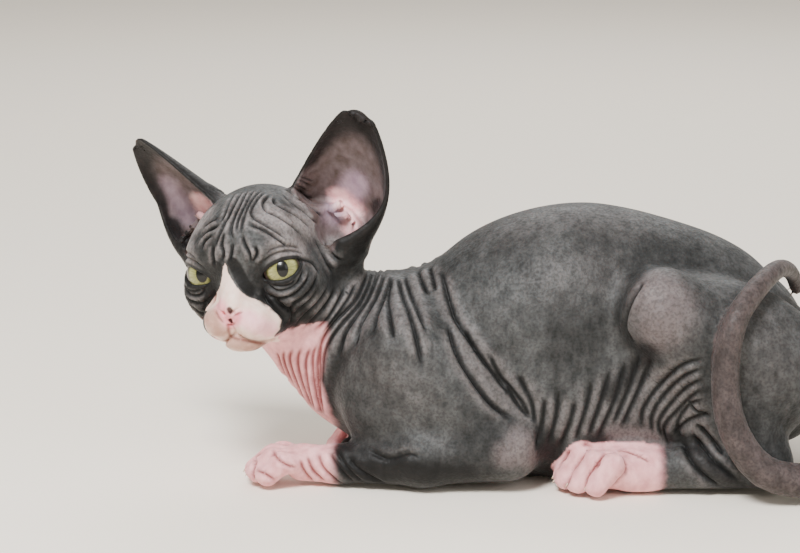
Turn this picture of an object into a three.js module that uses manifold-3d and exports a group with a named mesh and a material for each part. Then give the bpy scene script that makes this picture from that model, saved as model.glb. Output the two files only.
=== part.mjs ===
// A young sphynx cat at life size, lying down with its head turned to its left and its tail curled round
// its left thigh. Millimetres, +Z up, the floor at Z 0. The cat faces -X, and its left side faces -Y.
// Its flesh is one smooth field made of eggs and bones that melt together. The field is drawn as a
// surface, coarse on the body and finer on the head and paws, and cut into the parts a person would name.
import * as THREE from "three";
import { mergeVertices } from "three/addons/utils/BufferGeometryUtils.js";
import Module from "manifold-3d";

// Driving dimensions, in millimetres unless a name says otherwise
const GAP = 0.3; // between parts that touch
const BODY_CELL = 12.5; // spacing of the surface on the body
const HEAD_CELL = 5.2; // and on the head
const PAW_CELL = 4.8; // and on the paws
const HEAD_AT = [-73.5, -22, 110.5]; // middle of the skull, between the eyes and the ears
const HEAD_TURN_DEG = 21; // from square to its left, back towards the way the body faces
const HEAD_TILT_DEG = 7.5; // its left side up
const EYE_RADIUS = 10;
const EYE_AT = [15, 21, 1.2]; // left eye: forward, left and up from the middle of the skull
const EYE_LOOK = [0.86, 0.42, 0.02];
const LID_THICKNESS = 1.3;
const LID_OPENING = { half: 9.8, up: 4.5, down: 5.3, lift: 0.8 };
const EAR_INNER_ROOT = [-15.5, 17, 34];
const EAR_OUTER_ROOT = [-25, 50, 2];
const EAR_AXIS = [0.24, 0.46, 0.87];
const EAR_DEPTH = 17;
const EAR_SUNK = 0.16; // how much of its height is drawn inside the head
const EARS = {
  left: { side: 1, height: 68, turnDeg: 0, spread: 0.36, taper: 0.5 },
  right: { side: -1, height: 61.5, turnDeg: 25, spread: 0.34, taper: 0.72 },
}; // turned outwards, how far the outer edge bows out, and how soon the inner edge draws in
const EAR_STANDOFF = 0.8; // from the smooth head, so that the flat faces of both stay clear
const EAR_SHEET = { rim: 1.9, root: 3.7 };
const NOSTRIL = { at: [40.4, 2.9, -15.2], radii: [3.2, 1.4, 1.6] };
const MOUTH_LINE = [
  [0, -27.4],
  [2.8, -28.9],
  [5.4, -30.8],
  [8.5, -32.6],
  [11, -33.2],
]; // how far from the middle of the face, and how high
const MOUTH_RADIUS = 0.9;
const PHILTRUM = { top: -17.6, radius: 0.8 };
const TOES = [
  [17.5, -10.8],
  [23, -3.8],
  [24.5, 3.8],
  [18.5, 10.8],
]; // how far each toe reaches ahead of the ball of the foot and to its side
const HIND_TOES = [
  [8, -11.5],
  [17, -5.5],
  [23, 2],
  [23, 9.5],
];
const TOE_RADIUS = 5.2;
const TAIL_ROUTE = [
  [206, 2, 60],
  [226, -3, 51],
  [241, -16, 36],
  [244, -38, 19],
  [229, -60, 12],
  [204, -71, 11.5],
  [181, -76, 18],
  [166, -76, 38],
  [161, -73, 64],
  [165, -70, 91],
  [175, -59, 104],
  [186, -42, 110.5],
  [195, -22, 110],
  [203, -3, 103.5],
  [208, 10, 93],
];
const TAIL_RADII = { root: 11, middle: 8.6, tip: 3.6, middleAt: 0.42 };
const TAIL_SIDES = 8;
const TAIL_STEPS = 40;
const TAIL_LENGTHS = 5;
const SKIN = 0x6b6461;
const PINK_SKIN = 0xd3aca0;
const EAR_SKIN = 0x8a6f6c;
const EYE_COLOUR = 0x9aa24a;
const SKIN_ROUGHNESS = 0.75;
const EYE_ROUGHNESS = 0.1;

// Distances: below 0 inside a form, above 0 outside it

const egg = (centre, radii) => (x, y, z) => {
  const [u, v, w] = [x - centre[0], y - centre[1], z - centre[2]];
  const near = Math.hypot(u / radii[0], v / radii[1], w / radii[2]);
  const slope = Math.hypot(u / radii[0] ** 2, v / radii[1] ** 2, w / radii[2] ** 2);
  return (near * (near - 1)) / (slope + 1e-9);
};

const ball = (centre, radius) => (x, y, z) =>
  Math.hypot(x - centre[0], y - centre[1], z - centre[2]) - radius;

// A round bar from a to b whose radius runs from ra to rb
const bone = (a, b, ra, rb) => {
  const along = [b[0] - a[0], b[1] - a[1], b[2] - a[2]];
  const square = along[0] ** 2 + along[1] ** 2 + along[2] ** 2;
  return (x, y, z) => {
    const [u, v, w] = [x - a[0], y - a[1], z - a[2]];
    const share = (u * along[0] + v * along[1] + w * along[2]) / square;
    const t = Math.min(1, Math.max(0, share));
    const off = Math.hypot(u - t * along[0], v - t * along[1], w - t * along[2]);
    return off - (ra + (rb - ra) * t);
  };
};

// Each form in the list is [how softly it runs into those before it, form]
const melt = (first, ...others) => (x, y, z) => {
  let d = first(x, y, z);
  for (const [soft, form] of others) {
    const e = form(x, y, z);
    const h = Math.max(soft - Math.abs(d - e), 0) / soft;
    d = Math.min(d, e) - h * h * soft * 0.25;
  }
  return d;
};

const carve = (form, soft, hollow) => (x, y, z) => {
  const [d, e] = [form(x, y, z), -hollow(x, y, z)];
  const h = Math.max(soft - Math.abs(d - e), 0) / soft;
  return Math.max(d, e) + h * h * soft * 0.25;
};

const bothSides = (form) => (x, y, z) => form(x, Math.abs(y), z);
const otherSide = (form) => (x, y, z) => form(x, -y, z);

// The head's own frame: forward through the nose, towards its left ear, and up
const turn = THREE.MathUtils.degToRad(HEAD_TURN_DEG);
const tilt = THREE.MathUtils.degToRad(HEAD_TILT_DEG);
const forward = new THREE.Vector3(-Math.sin(turn), -Math.cos(turn), 0);
const level = new THREE.Vector3(Math.cos(turn), -Math.sin(turn), 0);
const upright = new THREE.Vector3().crossVectors(forward, level);
const leftward = level.clone().applyAxisAngle(forward, tilt);
const upward = new THREE.Vector3().crossVectors(forward, leftward);
const headFrame = new THREE.Matrix4().makeBasis(forward, leftward, upward).setPosition(...HEAD_AT);
const fromHead = (p) => new THREE.Vector3(...p).applyMatrix4(headFrame).toArray();
const inHead = (form) => (x, y, z) => {
  const [u, v, w] = [x - HEAD_AT[0], y - HEAD_AT[1], z - HEAD_AT[2]];
  return form(
    u * forward.x + v * forward.y + w * forward.z,
    u * leftward.x + v * leftward.y + w * leftward.z,
    u * upward.x + v * upward.y + w * upward.z,
  );
};

function headForm() {
  const skull = melt(
    egg([-11, 0, 11], [36, 31, 30]),
    [14, egg([10, 0, 14], [20, 25, 19])],
    [12, bothSides(egg([4, 22, -8], [20, 14.5, 14]))],
    [12, bothSides(egg([-8, 17, -21], [22, 15.5, 14]))],
  );
  const face = melt(
    skull,
    [8, bone([14, 0, 4], [32, 0, -10], 11, 6)],
    [8, egg([20, 0, -19], [15, 14, 11])],
    [5, bothSides(egg([17, 13, -24.5], [14, 9, 9]))],
    [4, egg([25.5, 0, -31.5], [9, 10, 6.4])],
    [7, bothSides(bone([22, 4, -30], [-8, 17, -26], 6, 9))],
    [3.5, bothSides(egg([29.5, 8.6, -21.5], [10.5, 9.6, 8.2]))],
    [2.5, egg([36, 0, -14], [4.6, 5.6, 4.8])],
    [8, bothSides(egg([17, 15, 13], [10, 12, 8]))],
    [3, bothSides(ball(EYE_AT, EYE_RADIUS + LID_THICKNESS))],
  );
  const earRoots = melt(face, [7, bothSides(egg([-25, 33, 6], [17, 18, 21]))]);
  return carve(earRoots, 3, bothSides(egg([-14, 40, 17], [12, 9.5, 19])));
}

const neckForm = melt(
  bone(fromHead([-14, 0, 0]), [-36, 0, 76], 25, 27),
  [10, bone([-36, 0, 76], [4, 0, 64], 27, 36)],
  [12, bone(fromHead([-2, 0, -20]), [-34, -2, 50], 14, 20)],
);

const trunkForm = melt(
  egg([2, 0, 50], [42, 36, 44]),
  [18, egg([62, 0, 72], [56, 45, 56])],
  [28, egg([100, 0, 74], [62, 48, 65])],
  [26, egg([148, 0, 62], [58, 42, 62])],
  [12, egg([193, 0, 50], [33, 36, 38])],
  [18, egg([92, 0, 38], [80, 52, 44])],
);

// The foot's four toes fan out ahead of its ball; heading is the way it points, in degrees from -X to -Y
function pawForm(wrist, footBall, radii, headingDeg, toePlaces, knuckleHeight) {
  const a = THREE.MathUtils.degToRad(headingDeg);
  const ahead = [-Math.cos(a), -Math.sin(a)];
  const aside = [-Math.sin(a), Math.cos(a)];
  const place = (reach, side, z) => [
    footBall[0] + ahead[0] * reach + aside[0] * side,
    footBall[1] + ahead[1] * reach + aside[1] * side,
    z,
  ];
  const toes = toePlaces.map(([reach, side]) =>
    melt(bone(place(-1, side * 0.5, 12.5), place(reach - 8.5, side, knuckleHeight), 5, 5), [
      4,
      ball(place(reach, side, TOE_RADIUS + 1.5), TOE_RADIUS),
    ]),
  );
  const fan = melt(toes[0], ...toes.slice(1).map((toe) => [1.5, toe]));
  return melt(bone(wrist, footBall, ...radii), [4, fan]);
}

// The left foreleg lies along the floor, from the elbow to the paw ahead of the chest
const forelegForm = melt(
  bone([2, -32, 70], [54, -44, 24], 22, 16),
  [12, egg([12, -33, 46], [43, 21, 41])],
  [8, bone([54, -45, 21], [12, -46, 17], 16.5, 14.5)],
  [6, bone([12, -46, 16], [-32, -38, 11], 14, 9.5)],
);
const forepawForm = pawForm([-30, -38, 10.5], [-50, -35.5, 11], [9.5, 9.5], 0, TOES, 13.5);

// The right foreleg is folded, with its paw turned in under the chest
const foldedForelegForm = otherSide(
  melt(
    bone([2, -32, 70], [54, -44, 24], 22, 16),
    [12, egg([12, -32, 50], [36, 17, 40])],
    [8, bone([54, -45, 21], [12, -40, 17], 16.5, 14)],
    [6, bone([12, -40, 16], [-16, -28, 12], 13.5, 10)],
  ),
);
const foldedPawForm = pawForm([-16, 28, 11.5], [-27, 15, 11], [9.5, 9.5], 52, TOES, 13.5);

const hindlegForm = melt(
  bone([132, -50, 95], [186, -34, 62], 21, 30),
  [12, egg([165, -38, 60], [46, 22, 46])],
  [10, bone([134, -50, 88], [184, -50, 22], 16, 12)],
  [6, bone([188, -51, 14], [118, -52, 11.5], 12, 9.5)],
);
const hindpawForm = pawForm([124, -52, 12], [107, -53.5, 13], [10, 10.5], 0, HIND_TOES, 18);

const bodyForm = melt(
  trunkForm,
  [22, neckForm],
  [10, inHead(headForm())],
  [9, forelegForm],
  [4, forepawForm],
  [9, foldedForelegForm],
  [3, foldedPawForm],
  [9, hindlegForm],
  [4, hindpawForm],
  [9, otherSide(hindlegForm)],
  [4, otherSide(hindpawForm)],
);

// Surface of a form

// The eight corners of a cell, and its edges and faces as lists of corners
const CORNERS = [0, 1, 2, 3, 4, 5, 6, 7].map((k) => [k & 1, (k >> 1) & 1, k >> 2]);
const EDGES = [];
for (let a = 0; a < 8; a++)
  for (const bit of [1, 2, 4]) if (!(a & bit)) EDGES.push([a, a | bit]);
const FACES = [];
for (const [axis, others] of [[1, [2, 4]], [2, [1, 4]], [4, [1, 2]]])
  for (const from of [0, axis])
    FACES.push([from, from | others[0], from | others[0] | others[1], from | others[1]]);
const edgeBetween = (a, b) => EDGES.findIndex(([p, q]) => (p === a && q === b) || (p === b && q === a));
const FACE_EDGES = FACES.map((face) => face.map((corner, i) => edgeBetween(corner, face[(i + 1) % 4])));

// Which loop each crossed edge of a cell belongs to, for each way its corners can lie inside or outside.
// On a face whose inside corners are diagonal, each of them is kept apart from the other.
const LOOPS = Array.from({ length: 256 }, (_, inside) => {
  const group = EDGES.map((_, i) => i);
  const root = (i) => (group[i] === i ? i : root(group[i]));
  const isIn = (corner) => (inside >> corner) & 1;
  FACES.forEach((face, f) => {
    const crossed = FACE_EDGES[f].filter((e) => isIn(EDGES[e][0]) !== isIn(EDGES[e][1]));
    if (crossed.length === 2) group[root(crossed[0])] = root(crossed[1]);
    if (crossed.length === 4)
      for (const corner of face.filter(isIn)) {
        const [e, g] = crossed.filter((c) => EDGES[c].includes(corner));
        group[root(e)] = root(g);
      }
  });
  return EDGES.map((_, i) => root(i));
});

// The closed surface of a form inside a box, with one point in each cell for each loop through it
function surfaceOf(form, low, high, cell) {
  const count = low.map((v, i) => Math.ceil((high[i] - v) / cell) + 1);
  const [nx, ny, nz] = count;
  const stride = [1, nx, nx * ny];
  const value = new Float64Array(nx * ny * nz);
  for (let k = 0; k < nz; k++)
    for (let j = 0; j < ny; j++)
      for (let i = 0; i < nx; i++) {
        const edge = i * j * k === 0 || i === nx - 1 || j === ny - 1 || k === nz - 1;
        const d = form(low[0] + i * cell, low[1] + j * cell, low[2] + k * cell);
        value[i + j * nx + k * nx * ny] = edge ? Math.max(d, cell / 2) : d;
      }
  const points = [];
  const pointAt = new Map();
  for (let k = 0; k < nz - 1; k++)
    for (let j = 0; j < ny - 1; j++)
      for (let i = 0; i < nx - 1; i++) {
        const home = i + j * nx + k * nx * ny;
        const at = CORNERS.map(([a, b, c]) => value[home + a + b * nx + c * nx * ny]);
        const inside = at.reduce((bits, d, corner) => bits | ((d < 0) << corner), 0);
        if (inside === 0 || inside === 255) continue;
        const loops = new Map();
        EDGES.forEach(([a, b], e) => {
          if (at[a] < 0 === at[b] < 0) return;
          const t = at[a] / (at[a] - at[b]);
          const loop = LOOPS[inside][e];
          if (!loops.has(loop)) loops.set(loop, { sum: [0, 0, 0], n: 0, edges: [] });
          const mine = loops.get(loop);
          for (let c = 0; c < 3; c++) mine.sum[c] += CORNERS[a][c] + t * (CORNERS[b][c] - CORNERS[a][c]);
          mine.n += 1;
          mine.edges.push(e);
        });
        for (const { sum, n, edges } of loops.values()) {
          const place = [i, j, k].map((g, c) => low[c] + (g + sum[c] / n) * cell);
          for (const e of edges) pointAt.set(home * 12 + e, points.length);
          points.push(settled(form, place, cell));
        }
      }
  const faces = [];
  // Round each crossed grid edge along an axis lie four cells: one quad, as two triangles
  for (let axis = 0; axis < 3; axis++) {
    const [u, v] = [(axis + 1) % 3, (axis + 2) % 3];
    const around = [[0, 0], [1, 0], [1, 1], [0, 1]];
    const edgeIn = around.map(([a, b]) => {
      const corner = (a << u) | (b << v);
      return edgeBetween(corner, corner | (1 << axis));
    });
    const from = [1, 1, 1];
    from[axis] = 0;
    for (let k = from[2]; k < nz - 1; k++)
      for (let j = from[1]; j < ny - 1; j++)
        for (let i = from[0]; i < nx - 1; i++) {
          const home = i + j * nx + k * nx * ny;
          const [here, next] = [value[home], value[home + stride[axis]]];
          if (here < 0 === next < 0) continue;
          const ring = around.map(([a, b], r) =>
            pointAt.get((home - a * stride[u] - b * stride[v]) * 12 + edgeIn[r]),
          );
          if (here < 0) ring.reverse();
          const [p, q, r, s] = ring.map((id) => new THREE.Vector3(...points[id]));
          const shortFirst = p.distanceTo(r) < q.distanceTo(s);
          const [a, b, c, d] = shortFirst ? ring : [ring[1], ring[2], ring[3], ring[0]];
          faces.push(a, c, b, a, d, c);
        }
  }
  return closedMesh(points.flat(), faces);
}

// A point moved along the form's slope until it lies on its surface
function settled(form, place, cell) {
  let [x, y, z] = place;
  const e = 0.2;
  for (let round = 0; round < 2; round++) {
    const d = form(x, y, z);
    const slope = [
      form(x + e, y, z) - form(x - e, y, z),
      form(x, y + e, z) - form(x, y - e, z),
      form(x, y, z + e) - form(x, y, z - e),
    ].map((s) => s / (2 * e));
    const steep = Math.max(0.3, slope[0] ** 2 + slope[1] ** 2 + slope[2] ** 2);
    const step = THREE.MathUtils.clamp(d / steep, -cell * 0.3, cell * 0.3);
    x -= step * slope[0];
    y -= step * slope[1];
    z -= step * slope[2];
  }
  return [x, y, z];
}

function closedMesh(positions, faces) {
  const geometry = new THREE.BufferGeometry();
  geometry.setAttribute("position", new THREE.Float32BufferAttribute(positions, 3));
  geometry.setIndex(faces);
  return geometry;
}

// Solids that can be cut and joined

const wasm = await Module();
wasm.setup();

function solidOf(geometry) {
  const bare = geometry.clone();
  bare.deleteAttribute("normal");
  bare.deleteAttribute("uv");
  const merged = mergeVertices(bare, 1e-4);
  return new wasm.Manifold(
    new wasm.Mesh({
      numProp: 3,
      vertProperties: merged.attributes.position.array,
      triVerts: new Uint32Array(merged.index.array),
    }),
  );
}

function largest(solid) {
  return solid.decompose().reduce((best, piece) => (piece.volume() > best.volume() ? piece : best));
}

function geometryOf(solid) {
  const { vertProperties, triVerts, numProp } = solid.getMesh();
  const positions = new Float32Array((vertProperties.length / numProp) * 3);
  for (let i = 0; i < positions.length / 3; i++)
    positions.set(vertProperties.subarray(i * numProp, i * numProp + 3), i * 3);
  return closedMesh(positions, Array.from(triVerts));
}

// Regions that part the body: each is made at its own size and again grown by the gap

const eggRegion = (centre, radii, turnDeg = [0, 0, 0]) => (grow) => {
  const radians = turnDeg.map(THREE.MathUtils.degToRad);
  const geometry = new THREE.SphereGeometry(1, 16, 10);
  const size = new THREE.Vector3(...radii).addScalar(grow);
  const turned = new THREE.Quaternion().setFromEuler(new THREE.Euler(...radians));
  geometry.applyMatrix4(new THREE.Matrix4().compose(new THREE.Vector3(...centre), turned, size));
  return solidOf(geometry);
};

const boxRegion = (low, high) => (grow) => {
  const size = high.map((v, i) => v - low[i] + 2 * grow);
  const centre = high.map((v, i) => (v + low[i]) / 2);
  return solidOf(new THREE.BoxGeometry(...size).translate(...centre));
};

// All that lies on one side of a plane through a point, out to a long way off
const sideRegion = (point, normal) => (grow) => {
  const far = 500;
  const out = new THREE.Vector3(...normal).normalize();
  const geometry = new THREE.BoxGeometry(far, far, far).translate(0, 0, far / 2 - grow);
  geometry.applyQuaternion(new THREE.Quaternion().setFromUnitVectors(new THREE.Vector3(0, 0, 1), out));
  return solidOf(geometry.translate(...point));
};

const floor = boxRegion([-300, -300, -60], [400, 300, 0])(0);

// Ear: a cup-shaped sheet. Each section is an arc from the inner edge to the outer one, which wraps
// forward low down, and the sections shrink to the tip.
function earGeometry({ side, height, turnDeg, spread, taper }) {
  const axis = new THREE.Vector3(...EAR_AXIS).normalize();
  const inner = new THREE.Vector3(...EAR_INNER_ROOT);
  const outer = new THREE.Vector3(...EAR_OUTER_ROOT);
  const halfWidth = inner.distanceTo(outer) / 2;
  const across = outer.clone().sub(inner);
  across.addScaledVector(axis, -across.dot(axis)).normalize();
  const mouth = new THREE.Vector3().crossVectors(across, axis);
  for (const direction of [across, mouth]) direction.applyAxisAngle(axis, THREE.MathUtils.degToRad(turnDeg));
  const base = inner.clone().add(outer).multiplyScalar(0.5);
  const rows = 12;
  const columns = 10;
  const tipShare = 0.985;
  const sheet = (row, column) => {
    const h = -EAR_SUNK + (row / rows) * (1 + EAR_SUNK) * tipShare;
    const up = Math.max(h, 0);
    const low = Math.min(h, 0);
    const innerHalf = halfWidth * (1 - up) ** taper;
    const outerHalf = halfWidth * (1 - up) ** 0.36 * (1 + spread * Math.sin(Math.PI * up));
    const half = ((innerHalf + outerHalf) / 2) * (1 + 0.35 * low);
    const deep = EAR_DEPTH * (1 - up) ** 0.75 * (1 + 0.8 * low);
    const wrap = 90 + 62 * Math.max(0, 1 - up / 0.42) ** 1.2;
    const angle = THREE.MathUtils.degToRad(-90 + (column / columns) * (90 + wrap));
    return base
      .clone()
      .addScaledVector(axis, height * h)
      .addScaledVector(across, (outerHalf - innerHalf) / 2 + half * Math.sin(angle))
      .addScaledVector(mouth, -deep * Math.cos(angle));
  };
  const thick = (row) => {
    const up = Math.max(0, -EAR_SUNK + (row / rows) * (1 + EAR_SUNK));
    return EAR_SHEET.rim + (EAR_SHEET.root - EAR_SHEET.rim) * (1 - Math.min(1, up)) ** 3;
  };
  const front = [];
  const back = [];
  for (let row = 0; row <= rows; row++)
    for (let column = 0; column <= columns; column++) {
      const here = sheet(row, column);
      const rise = sheet(Math.min(row + 0.5, rows), column).sub(sheet(Math.max(row - 0.5, 0), column));
      const run = sheet(row, column + 0.5).sub(sheet(row, column - 0.5));
      const normal = rise.cross(run).normalize().multiplyScalar(thick(row) / 2);
      front.push(here.clone().sub(normal));
      back.push(here.clone().add(normal));
    }
  const points = [...front, ...back].map((p) => p.set(p.x, p.y * side, p.z).applyMatrix4(headFrame));
  const at = (row, column, behind) => behind * front.length + row * (columns + 1) + column;
  const faces = [];
  const quad = (a, b, c, d) => {
    if (side > 0) faces.push(a, c, b, a, d, c);
    else faces.push(a, b, c, a, c, d);
  };
  for (let row = 0; row < rows; row++)
    for (let column = 0; column < columns; column++) {
      quad(at(row, column, 0), at(row + 1, column, 0), at(row + 1, column + 1, 0), at(row, column + 1, 0));
      quad(at(row, column, 1), at(row, column + 1, 1), at(row + 1, column + 1, 1), at(row + 1, column, 1));
    }
  for (let row = 0; row < rows; row++) {
    quad(at(row, 0, 0), at(row, 0, 1), at(row + 1, 0, 1), at(row + 1, 0, 0));
    quad(at(row + 1, columns, 0), at(row + 1, columns, 1), at(row, columns, 1), at(row, columns, 0));
  }
  for (let column = 0; column < columns; column++) {
    quad(at(0, column + 1, 0), at(0, column + 1, 1), at(0, column, 1), at(0, column, 0));
    quad(at(rows, column, 0), at(rows, column, 1), at(rows, column + 1, 1), at(rows, column + 1, 0));
  }
  return closedMesh(points.flatMap((p) => p.toArray()), faces);
}

// The opening between the lids: an almond, pushed in through the lids to just inside the front of the eye
function lidOpening(side) {
  const look = new THREE.Vector3(...EYE_LOOK).normalize();
  const across = new THREE.Vector3(-0.4, 0.86, 0.26);
  across.addScaledVector(look, -across.dot(look)).normalize();
  const rise = new THREE.Vector3().crossVectors(look, across);
  const { half, up, down, lift } = LID_OPENING;
  const steps = 9;
  const outline = [];
  for (let i = 0; i <= steps; i++) {
    const x = -half + (2 * half * i) / steps;
    outline.push(new THREE.Vector2(x, lift + up * Math.max(0, 1 - (x / half) ** 2) ** 0.8));
  }
  for (let i = steps - 1; i > 0; i--) {
    const x = -half + (2 * half * i) / steps;
    outline.push(new THREE.Vector2(x, lift - down * Math.max(0, 1 - (x / half) ** 2) ** 0.8));
  }
  const plug = new THREE.ExtrudeGeometry(new THREE.Shape(outline), { depth: 12, bevelEnabled: false });
  plug.translate(0, 0, EYE_RADIUS - 4);
  plug.applyMatrix4(new THREE.Matrix4().makeBasis(across, rise, look).setPosition(...EYE_AT));
  return placedInHead(plug, side);
}

// A solid drawn in the head's frame for its left side, mirrored for the right one, and placed
function placedInHead(geometry, side) {
  let solid = solidOf(geometry);
  if (solid.volume() < 0) throw new Error("a cutter is inside out");
  if (side < 0) solid = solid.mirror([0, 1, 0]);
  return solid.transform(headFrame.toArray());
}

// A round groove cut along a curve on the face
function groove(points, radius) {
  const ring = new THREE.Shape().absarc(0, 0, radius, 0, Math.PI * 2);
  const route = new THREE.CatmullRomCurve3(points.map((p) => new THREE.Vector3(...p)));
  return new THREE.ExtrudeGeometry(ring, { steps: 10, curveSegments: 4, extrudePath: route });
}

function nostril() {
  const { at, radii } = NOSTRIL;
  return new THREE.SphereGeometry(1, 10, 8).scale(...radii).translate(...at);
}

// The point of the face on a line forward from the given place across and up
function onFace(face, y, z) {
  let [inside, outside] = [0, 60];
  for (let i = 0; i < 24; i++) {
    const middle = (inside + outside) / 2;
    if (face(middle, y, z) < 0) inside = middle;
    else outside = middle;
  }
  return [inside, y, z];
}

// The box that the head is drawn in
const HEAD_LOW = [-135.5, -88, 56.5];
const HEAD_HIGH = [-11.5, 36, 162.5];

function headSolid() {
  let head = solidOf(surfaceOf(bodyForm, HEAD_LOW, HEAD_HIGH, HEAD_CELL)).intersect(headRegion(0));
  const face = headForm();
  const farLine = MOUTH_LINE.slice(1).reverse();
  const mouthLine = [
    ...farLine.map(([y, z]) => onFace(face, -y, z)),
    ...MOUTH_LINE.map(([y, z]) => onFace(face, y, z)),
  ];
  const lipLine = [0, 0.5, 1].map((share) =>
    onFace(face, 0, THREE.MathUtils.lerp(PHILTRUM.top, MOUTH_LINE[0][1], share)),
  );
  const cutters = [
    placedInHead(groove(mouthLine, MOUTH_RADIUS), 1),
    placedInHead(groove(lipLine, PHILTRUM.radius), 1),
  ];
  for (const side of [1, -1]) {
    cutters.push(placedInHead(nostril(), side), lidOpening(side), eyeSolid(side, GAP));
  }
  for (const cutter of cutters) head = head.subtract(cutter);
  return largest(head);
}

function eyeSolid(side, grow) {
  const centre = fromHead([EYE_AT[0], side * EYE_AT[1], EYE_AT[2]]);
  return solidOf(new THREE.SphereGeometry(EYE_RADIUS + grow, 16, 10).translate(...centre));
}

// An ear stands on the head's surface, the gap away from it
function earSolid(ear) {
  const grown = (x, y, z) => bodyForm(x, y, z) - EAR_STANDOFF;
  const headAndGap = solidOf(surfaceOf(grown, HEAD_LOW, HEAD_HIGH, HEAD_CELL));
  return largest(solidOf(earGeometry(ear)).subtract(headAndGap));
}

// The tail's round sections: where each is centred, which way it faces and how wide it is
function tailSections() {
  const route = new THREE.CatmullRomCurve3(TAIL_ROUTE.map((p) => new THREE.Vector3(...p)));
  const { root, middle, tip, middleAt } = TAIL_RADII;
  const sections = [];
  let side = new THREE.Vector3(0, 1, 0);
  for (let i = 0; i <= TAIL_STEPS; i++) {
    const t = i / TAIL_STEPS;
    const along = route.getTangentAt(t);
    side = side.clone().addScaledVector(along, -side.dot(along)).normalize();
    const radius = THREE.MathUtils.lerp(
      t < middleAt ? root : middle,
      t < middleAt ? middle : tip,
      t < middleAt ? t / middleAt : (t - middleAt) / (1 - middleAt),
    );
    sections.push({ centre: route.getPointAt(t), along, side, radius });
  }
  const end = sections.at(-1);
  for (const turned of [35, 65]) {
    const a = THREE.MathUtils.degToRad(turned);
    const centre = end.centre.clone().addScaledVector(end.along, end.radius * Math.sin(a));
    sections.push({ ...end, centre, radius: end.radius * Math.cos(a) });
  }
  return sections;
}

// A closed stretch of the tail: its sections, made wider by grow, with its cut ends drawn in by half a gap
function tailStretch(sections, grow, cutStart, cutEnd) {
  const positions = [];
  const faces = [];
  const last = sections.length - 1;
  sections.forEach(({ centre, along, side, radius }, i) => {
    const inset = (i === 0 && cutStart ? GAP / 2 : 0) - (i === last && cutEnd ? GAP / 2 : 0);
    const middle = centre.clone().addScaledVector(along, inset);
    const other = new THREE.Vector3().crossVectors(along, side);
    for (let k = 0; k < TAIL_SIDES; k++) {
      const a = (k / TAIL_SIDES) * Math.PI * 2;
      const point = middle.clone().addScaledVector(side, Math.cos(a) * (radius + grow));
      positions.push(...point.addScaledVector(other, Math.sin(a) * (radius + grow)).toArray());
    }
  });
  for (let i = 0; i < last; i++)
    for (let k = 0; k < TAIL_SIDES; k++) {
      const [a, b] = [i * TAIL_SIDES + k, i * TAIL_SIDES + ((k + 1) % TAIL_SIDES)];
      faces.push(a, b, b + TAIL_SIDES, a, b + TAIL_SIDES, a + TAIL_SIDES);
    }
  for (let k = 1; k < TAIL_SIDES - 1; k++) {
    const end = last * TAIL_SIDES;
    faces.push(0, k + 1, k, end, end + k, end + k + 1);
  }
  return solidOf(closedMesh(positions, faces));
}

// Where the body is parted

const faceward = forward.clone().multiplyScalar(0.796).addScaledVector(upward, 0.605);
const headRegion = sideRegion(fromHead([-29, 0, -13]), faceward.toArray());
const neckRegion = sideRegion([-25, 0, 78.5], [-0.887, 0, 0.461]);
const chestRegion = sideRegion([60, 0, 60], [-1, 0, 0]);
const abdomenRegion = sideRegion([124, 0, 60], [-1, 0, 0]);
const forePawRegion = boxRegion([-110, -62, -10], [-34, -12, 27]);
const foldedPawRegion = boxRegion([-70, -14, -10], [-16, 40, 21]);
const forearmRegion = boxRegion([-60, -80, -10], [80, -25, 31]);
const upperArmRegion = eggRegion([22, -44, 54], [46, 25, 42], [0, 35, 0]);
const hindPawRegion = boxRegion([55, -85, -10], [106, -42, 27]);
const hindFootRegion = boxRegion([80, -85, -10], [215, -33, 25]);
const thighRegion = eggRegion([162, -50, 66], [50, 31, 50], [0, 30, 0]);
const acrossBody = (region) => (grow) => region(grow).mirror([0, 1, 0]);

const cat = new THREE.Group();

function addPart(name, solid, colour, roughness = SKIN_ROUGHNESS) {
  const material = new THREE.MeshStandardMaterial({ color: colour, roughness, metalness: 0 });
  const mesh = new THREE.Mesh(geometryOf(solid), material);
  mesh.name = name;
  cat.add(mesh);
}

// The paws are drawn finer than the rest, and cut from the same form
const pawSolid = (region, low, high) =>
  largest(solidOf(surfaceOf(bodyForm, low, high, PAW_CELL)).intersect(region(0)).subtract(floor));

addPart("head", headSolid(), SKIN);
for (const [name, ear] of Object.entries(EARS)) {
  addPart("eye_" + name, eyeSolid(ear.side, 0), EYE_COLOUR, EYE_ROUGHNESS);
  addPart("ear_" + name, earSolid(ear), EAR_SKIN);
}
addPart("fore_paw_left", pawSolid(forePawRegion, [-96, -62, -9], [-22, -12, 36]), PINK_SKIN);
addPart("fore_paw_right", pawSolid(foldedPawRegion, [-66, -20, -9], [-4, 48, 32]), PINK_SKIN);
addPart("hind_paw_left", pawSolid(hindPawRegion, [62, -80, -9], [118, -32, 38]), PINK_SKIN);
addPart("hind_paw_right", pawSolid(acrossBody(hindPawRegion), [62, 32, -9], [118, 80, 38]), PINK_SKIN);

const tail = tailSections();
let rest = solidOf(surfaceOf(bodyForm, [-139, -92, -9.5], [262, 92, 172], BODY_CELL)).subtract(floor);
rest = rest.subtract(headRegion(GAP)).subtract(tailStretch(tail, GAP, false, false));
for (const region of [forePawRegion, foldedPawRegion, hindPawRegion, acrossBody(hindPawRegion)]) {
  rest = rest.subtract(region(GAP));
}

// Takes a part off the body and leaves the body a gap smaller there
function takePart(name, region) {
  addPart(name, largest(rest.intersect(region(0))), SKIN);
  rest = rest.subtract(region(GAP));
}

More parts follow.
